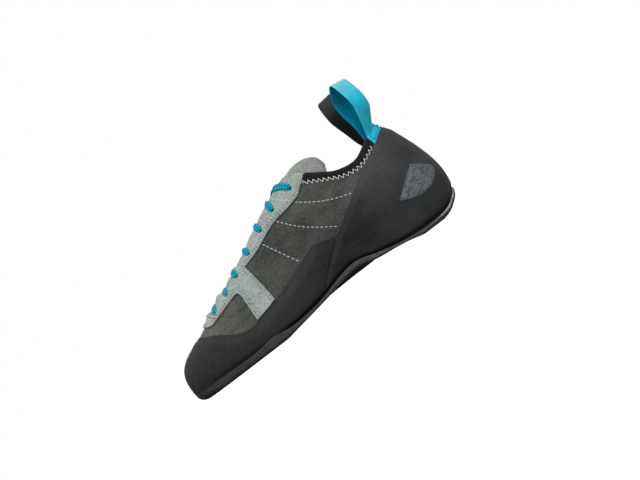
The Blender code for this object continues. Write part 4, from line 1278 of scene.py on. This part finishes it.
def sweepLace(guide, pinchEnds):
    points, looks = (np.array(rows) for rows in zip(*guide))
    runs = runLengths(points)
    places = np.linspace(0, runs[-1], lace["steps"])
    centre = np.stack([smoothLine(runs, points[:, axis], places) for axis in range(3)], -1)
    way = unit(np.gradient(centre, axis=0))
    across = unit(np.cross(way, unit(rowsAt(places, runs, looks))))
    look = np.cross(across, way)
    pinch = np.ones(len(places))
    for end in pinchEnds:
        away = places if end == 0 else runs[-1] - places
        eased = smoothStep((away - lace["pinchFrom"]) / lace["pinchRun"])
        pinch = np.minimum(pinch, lace["pinch"] + (1 - lace["pinch"]) * eased)
    angles, around = circle(lace["around"]), lace["around"]
    waves = (np.cos(angles), np.sin(angles))
    flatX, flatY = (np.sign(wave) * np.abs(wave) ** lace["square"] for wave in waves)
    halfWidth, halfWall = lace["width"] / 2 * pinch, lace["wall"] / 2 * (1 + lace["thicken"] * (1 - pinch))
    tube = (
        centre[:, None] + across[:, None] * (flatX[None, :, None] * halfWidth[:, None, None])
        + look[:, None] * (flatY[None, :, None] * halfWall[:, None, None])
    )
    uv = np.stack([np.repeat(places, around), np.tile(flatX * lace["width"] / 2, len(places))], -1)
    return tube.reshape(-1, 3), flipped(tubeFaces(len(places), around)), uv


# From inside a hole, out of its mouth and up to the rim of the throat
def sideGuide(sign, row, ribs, lower):
    over, middle, rim = (sign * rib % ribCount for rib in ribs)
    inset, lie = lace["inset"][row], lace["lie"]
    return [
        seatAt(over, inset, -lace["dive"]), seatAt(over, inset - lace["mouthIn"], lie - lace["mouthLow"]),
        seatAt(middle, inset * lace["lieShare"], lie), seatAt(rim, lace["rimDrop"][row], lie - lower),
    ]


def barGuide():
    ribs = [throatRib(lace["along"][0] + lace["slant"][0] * share) for share in (0, lace["barShare"], 1)]
    return sideGuide(1, 0, ribs, 0.0) + sideGuide(-1, 0, ribs, 0.0)[::-1]


# A strand crosses the throat and ends under the far side's next hole
def crossingGuide(row, side):
    sign = 1 if side == "medial" else -1
    over, slant = (throatRib(lace["along"][row] + more) for more in (0, lace["slant"][row]))
    under = throatRib(lace["along"][row - 1] - lace["short"])
    start = sideGuide(sign, row, (over, (over + slant) / 2, slant), lace["shoulderLow"])
    shoulder, tilted = start[-1]
    tucked, _ = seatAt(-sign * under % ribCount, lace["tuckInset"], -lace["sink"])
    farRib, farInset = -sign * throatRib(lace["along"][row - 1]) % ribCount, lace["inset"][row - 1]
    slope = topPoint(under - 0.2) - topPoint(under + 0.2)
    flat = unit(np.array([slope[2], 0, -slope[0]])) * np.sign(-slope[0])
    bow = lace["bow"][row] - (lace["apart"] if side == "lateral" else 0.0)
    near, far = (
        shoulder * (1 - share) + tucked * share + upWay * 4 * bow * share * (1 - share)
        for share in lace["acrossAt"]
    )
    beneath = [seatAt(farRib, farInset * share, -lace["sink"]) for share in lace["beneath"]]
    return [*start, (near, unit(tilted + flat)), (far, flat), (tucked, flat), *beneath]


def makeLace(name, guides, pinchEnds):
    strands = [sweepLace(guide, pinchEnds) for guide in guides]
    points, faces = joinParts([strand[:2] for strand in strands])
    uv = np.concatenate([strand[2] for strand in strands])
    newPiece(name, points, faces, [laceTeal], "lace_teal", uv=uv)


def makePunch():
    parts, angles = [], circle(lace["holeSides"])[:, None]
    for along, inset in zip(lace["along"], lace["inset"]):
        rib = throatRib(along)
        for turn in (rib, ribCount - rib):
            centre, normal = seatAt(turn, inset, 0.0)
            across = unit(np.cross(normal, [1.0, 0.0, 0.0]))
            ring = np.cos(angles) * across + np.sin(angles) * np.cross(normal, across)
            rim = centre + lace["hole"] * ring
            ends = [rim + normal * lace["holeHalf"] * end for end in (-1, 1)]
            parts.append((np.concatenate(ends), tubeFaces(2, lace["holeSides"])))
    points, faces = joinParts(parts)
    mesh = bpy.data.meshes.new("punch")
    mesh.from_pydata(toScene(points).tolist(), [], faces)
    return addObject("punch", mesh)


def punchHoles(pieces):
    punch = makePunch()
    for piece in pieces:
        cut = piece.modifiers.new("holes", "BOOLEAN")
        cut.object, cut.operation, cut.solver = punch, "DIFFERENCE", "EXACT"
        whole = piece.data
        punched = piece.evaluated_get(bpy.context.evaluated_depsgraph_get())
        piece.data = bpy.data.meshes.new_from_object(punched)
        piece.modifiers.clear()
        piece.data.set_sharp_from_angle(angle=math.radians(lace["holeSharp"]))
        print("holes in", piece.name, len(whole.polygons), "to", len(piece.data.polygons))
        bpy.data.meshes.remove(whole)
    bpy.data.objects.remove(punch)


makeLace("lace_bar", [barGuide()], (0, 1))
for row in range(1, len(lace["along"])):
    makeLace(f"lace_crossing_{row}", [crossingGuide(row, side) for side in sides], (0,))
punchHoles([upperPiece, *eyestayPieces])
print("laces done")

# Stitches: short arched threads along lines on the skin
sewn = {
    "around": 8, "stations": (-0.5, -0.47, -0.38, -0.2, 0.0, 0.2, 0.38, 0.47, 0.5), "endFull": 0.05,
    "flat": 0.8, "sunk": 0.35,
    "quarterLines": [  # along, height
        [(139, 66), (132, 52.5), (125, 39.4)],
        [(121, 73), (110, 60), (98, 50), (87.5, 42.8)],
        [(102, 76), (90, 67), (77, 60), (64.5, 55.6)],
    ],
    "eyestayLines": [[(102.5, 77.6), (108, 81.8), (113.5, 86.4)], [(121, 75), (123, 78)]],
    "barLines": [[(202.2, 46.6), (198.6, 42.6)], [(199.8, 47.6), (196.4, 44)]],
    # length, gap, width, rise
    "quarterStitch": (2.1, 1.15, 0.62, 0.3), "rowStitch": (1.2, 1.2, 0.5, 0.16),
    "barStitch": (2.0, 0.25, 0.75, 0.2),
    "loopStitch": (1.5, 0.5, 0.55, 0.15), "whiteLift": 0.12, "greyLift": 0.1, "loopLift": 0.05,
    "zigzagRibs": (2.1, 6.2), "zigzagPitch": 3.8, "zigzagHeight": 3.5, "zigzagWidth": 0.54,
    "zigzagRise": 0.15,
    "zigzagBelow": 0.2, "zigzagLift": (0.45, 0.5),  # the seam's line, the thread
    "rimRibs": (5.72, 7.25), "rimInset": 1.3, "ribStep": 0.5,  # the row along the eyestay's top edge
    "rowInset": (1.7, 3.6), "frontRibs": (10.35, 13.3, 160), "rearRibs": (6.05, 8.95, 160),
    "wingPlaces": 120,
    # where the rows down the wing's two edges end, off the rand and the band
    "wingLow": 1.5, "wingHigh": (8.0, -1.0),
    # on a loop: across, up its sewn end
    "box": [(0.16, 0.22), (0.84, 0.22), (0.84, 0.86), (0.16, 0.86), (0.16, 0.22)],
}


def threadShape():
    shape = []
    for place in sewn["stations"]:
        full = max(0.0, 1 - (2 * abs(place)) ** 6) ** 0.5 if abs(place) < 0.5 else sewn["endFull"]
        for angle in circle(sewn["around"]):
            shape.append((place, math.cos(angle) * full, math.sin(angle) * full, 1 - (2 * place) ** 2))
    return np.array(shape), tubeFaces(len(sewn["stations"]), sewn["around"])


threadPoints, threadFaces = threadShape()


def sewThreads(starts, ends, normals, width, rise):
    along, side, high, arch = (threadPoints[:, column, None] for column in range(4))
    parts = []
    for start, end, normal in zip(starts, ends, normals):
        way = unit(end - start)
        across = unit(np.cross(normal, way))
        lift = high * width / 2 * sewn["flat"] + (arch * rise - rise * sewn["sunk"])
        centre = (start + end) / 2 + way * (along * np.linalg.norm(end - start))
        parts.append((centre + across * (side * width / 2) + np.cross(way, across) * lift, threadFaces))
    return joinParts(parts)


def dashAlong(points, normals, length, gap, width, rise):
    runs = runLengths(points)
    count = max(1, int(runs[-1] / (length + gap)))
    pitch = runs[-1] / count
    length = length * pitch / (length + gap)
    begin = np.arange(count) * pitch + (pitch - length) / 2
    end = begin + length
    ways = unit(rowsAt((begin + end) / 2, runs, normals))
    return sewThreads(rowsAt(begin, runs, points), rowsAt(end, runs, points), ways, width, rise)


def dashOnSkin(ribs, climbs, lift, values):
    return dashAlong(onSkin(ribs, climbs, lift), skinNormal(ribs, climbs), *values)


def findOnSkin(along, height, side):
    ribs, climbs = np.meshgrid(np.linspace(0.05, 14.9, 300), np.linspace(0, 1, 81), indexing="ij")
    ribs = ribs if side == "medial" else ribCount - ribs
    table = skin(ribs, climbs)
    found = []
    for wantAlong, wantHeight in zip(along, height):
        away = (table[..., 0] - wantAlong) ** 2 + (table[..., 2] - wantHeight) ** 2
        found.append(np.unravel_index(np.argmin(away), away.shape))
    rib = np.array([ribs[place] for place in found])
    climb = np.array([climbs[place] for place in found])
    for _ in range(8):
        here = skin(rib, climb)
        byRib = (skin(rib + 0.01, climb) - skin(rib - 0.01, climb)) / 0.02
        byClimb = (skin(rib, climb + 0.003) - skin(rib, climb - 0.003)) / 0.006
        offAlong, offHeight = along - here[:, 0], height - here[:, 2]
        fit = byRib[:, 0] * byClimb[:, 2] - byClimb[:, 0] * byRib[:, 2]
        fit = np.where(np.abs(fit) < 1e-6, 1e-6, fit)
        ribStep = (offAlong * byClimb[:, 2] - offHeight * byClimb[:, 0]) / fit
        climbStep = (offHeight * byRib[:, 0] - offAlong * byRib[:, 2]) / fit
        rib = rib + np.clip(ribStep, -0.2, 0.2)
        climb = np.clip(climb + np.clip(climbStep, -0.1, 0.1), 0, 1)
    return rib, climb


def dashLines(lines, side, lift, values):
    parts = []
    for line in lines:
        marks = np.array(line, float)
        runs = runLengths(marks)
        places = np.linspace(0, runs[-1], 160)
        along, height = (smoothLine(runs, marks[:, column], places) for column in range(2))
        parts.append(dashOnSkin(*findOnSkin(along, height, side), lift, values))
    return parts


def zigzag(side):
    ribs = onSide(ribsBetween(*sewn["zigzagRibs"], sewn["ribStep"]), side)
    below, half = upper["band"] + sewn["zigzagBelow"], sewn["zigzagPitch"] / 2
    runs = runLengths(onSkin(ribs, climbBelowTop(ribs, below), sewn["zigzagLift"][0]))
    turns = np.arange(int(runs[-1] / half) + 1)
    ribs = np.interp(turns * half, runs, ribs)
    climbs = climbBelowTop(ribs, below - np.where(turns % 2 == 0, 0.5, -0.5) * sewn["zigzagHeight"])
    corners, normals = onSkin(ribs, climbs, sewn["zigzagLift"][1]), skinNormal(ribs, climbs)
    return sewThreads(corners[:-1], corners[1:], normals[:-1], sewn["zigzagWidth"], sewn["zigzagRise"])


def sewWhite():
    parts, lift, values = [], sewn["whiteLift"], sewn["quarterStitch"]
    for side in sides:
        parts += dashLines(sewn["quarterLines"], side, lift, values)
        parts += dashLines(sewn["eyestayLines"], side, eyestay["rearWall"] + lift, values)
        ribs = onSide(ribsBetween(*sewn["rimRibs"], sewn["ribStep"]), side)
        climbs = rimClimb(ribs) - sewn["rimInset"] / ribLength(ribs)
        parts += [dashOnSkin(ribs, climbs, eyestay["rearWall"] + lift, values), zigzag(side)]
    return newPiece("stitching_white", *joinParts(parts), [threadWhite])


def sewGrey():
    parts, values = [], sewn["rowStitch"]
    lift, rearLift = eyestay["wall"] + sewn["greyLift"], eyestay["rearWall"] + sewn["greyLift"]
    rows = [("frontRibs", "eyestayFront", lift), ("rearRibs", "eyestayRear", rearLift)]
    shares = np.linspace(0, 1, sewn["wingPlaces"])
    for side in sides:
        parts += dashLines(sewn["barLines"], side, lift, sewn["barStitch"])
        for inset in sewn["rowInset"]:
            for span, edge, high in rows:
                ribs = onSide(np.linspace(*sewn[span]), side)
                climbs = climbAtLine(ribs, edges[edge]) + inset / ribLength(ribs)
                parts.append(dashOnSkin(ribs, climbs, high, values))
            for edgeRib, way, over in zip(eyestay["wing"], (1, -1), sewn["wingHigh"]):
                ribs = onSide(np.full(len(shares), edgeRib + way * inset / ribWidth(edgeRib, 0.5)), side)
                low = climbAtLine(ribs, edges["toeRand"], sewn["wingLow"])
                climbs = low + (climbAtLine(ribs, edges["eyestayFront"], over) - low) * shares
                parts.append(dashOnSkin(ribs, climbs, lift, values))
    return newPiece("stitching_grey", *joinParts(parts), [threadGrey])


def gridAt(grid, across, up):
    rows, columns = grid.shape[:2]
    x, y = across * (columns - 1), up * (rows - 1)
    left, low = np.minimum(x.astype(int), columns - 2), np.minimum(y.astype(int), rows - 2)
    far, high = (x - left)[:, None], (y - low)[:, None]
    below, above = (grid[row, left] * (1 - far) + grid[row, left + 1] * far for row in (low, low + 1))
    return below * (1 - high) + above * high


def sewLoops():
    parts, shares = [], np.linspace(0, 1, 30)
    for side in sides:
        points = loopSurface(side)[: loops["seatSteps"]]
        normals = gridNormals(points)
        middle = normals[points.shape[0] // 2, points.shape[1] // 2]
        normals = normals * np.sign(middle @ outward(loops[side]["rib"]))
        for here, there in zip(sewn["box"][:-1], sewn["box"][1:]):
            path = [first * (1 - shares) + final * shares for first, final in zip(here, there)]
            ways = unit(gridAt(normals, *path))
            line = gridAt(points, *path) + ways * (loops["wall"] / 2 + sewn["loopLift"])
            parts.append(dashAlong(line, ways, *sewn["loopStitch"]))
    return newPiece("stitching_loops", *joinParts(parts), [threadTeal])


sewWhite()
sewGrey()
sewLoops()
print("stitches done")

# Floor, light and camera
studio = {
    "roll": 37.5, "target": (-0.01895, 0.0, 0.0428), "away": 2.4, "frameWidth": 0.46915,
    "sensor": 36.0, "farthest": 50.0, "floorSize": 12.0, "sky": 0.62, "floorGlow": 0.97, "floorTone": 0.28,
    "aim": (0, 0, 0.04),
    "lights": {"key": ((-0.15, 0.9, 1.35), 1.3, 12.0), "fill": ((0.9, 1.3, 0.35), 1.2, 1.5)},
}


def areaLight(name, place, size, power):
    data = bpy.data.lights.new(name, "AREA")
    data.size, data.energy = size, power
    lamp = addObject(name, data)
    back = unit(np.array(place) - np.array(studio["aim"]))
    side = unit(np.cross(upWay, back))
    turn = np.stack([side, np.cross(back, side), back], -1)
    lamp.matrix_world = Matrix.Translation(place) @ Matrix(turn.tolist()).to_4x4()


def makeStudio():
    half = studio["floorSize"] / 2
    mesh = bpy.data.meshes.new("floor")
    corners = [(-half, -half, 0), (half, -half, 0), (half, half, 0), (-half, half, 0)]
    mesh.from_pydata(corners, [], [(0, 1, 2, 3)])
    pale, tree, shader, _ = newMaterial("paleFloor", {
        "Base Color": (studio["floorTone"],) * 3 + (1,), "Roughness": 0.95, "Specular IOR Level": 0.0,
        "Emission Color": (1, 1, 1, 1),
    })
    seenRays = tree.nodes.new("ShaderNodeLightPath").outputs["Is Camera Ray"]
    tree.links.new(calc(tree, "MULTIPLY", seenRays, studio["floorGlow"]), shader["Emission Strength"])
    mesh.materials.append(pale)
    addObject("floor", mesh)
    world = bpy.data.worlds.new("softbox")
    world.use_nodes = True
    bpy.context.scene.world = world
    sky = world.node_tree
    lit = sky.nodes["Background"]
    lit.inputs["Color"].default_value, lit.inputs["Strength"].default_value = (1, 1, 1, 1), studio["sky"]
    seen = addNode(sky, "ShaderNodeBackground", {"Color": (1, 1, 1, 1), "Strength": 1.0})
    rays = sky.nodes.new("ShaderNodeLightPath").outputs["Is Camera Ray"]
    both = addNode(sky, "ShaderNodeMixShader", {0: rays, 1: lit.outputs[0], 2: seen.outputs[0]})
    sky.links.new(both.outputs[0], sky.nodes["World Output"].inputs["Surface"])
    for name, values in studio["lights"].items():
        areaLight(name, *values)
    data = bpy.data.cameras.new("camera")
    data.sensor_width, data.clip_end = studio["sensor"], studio["farthest"]
    data.lens = studio["sensor"] * studio["away"] / studio["frameWidth"]
    camera = addObject("camera", data)
    roll = math.radians(studio["roll"])
    right = (-math.cos(roll), 0.0, -math.sin(roll))
    above = (-math.sin(roll), 0.0, math.cos(roll))
    turn = Matrix((right, above, (0.0, 1.0, 0.0))).transposed()
    spot = (studio["target"][0], studio["target"][1] + studio["away"], studio["target"][2])
    camera.matrix_world = Matrix.Translation(spot) @ turn.to_4x4()
    bpy.context.scene.camera = camera
    bpy.context.scene.view_settings.view_transform = "Standard"


makeStudio()
print("studio done")
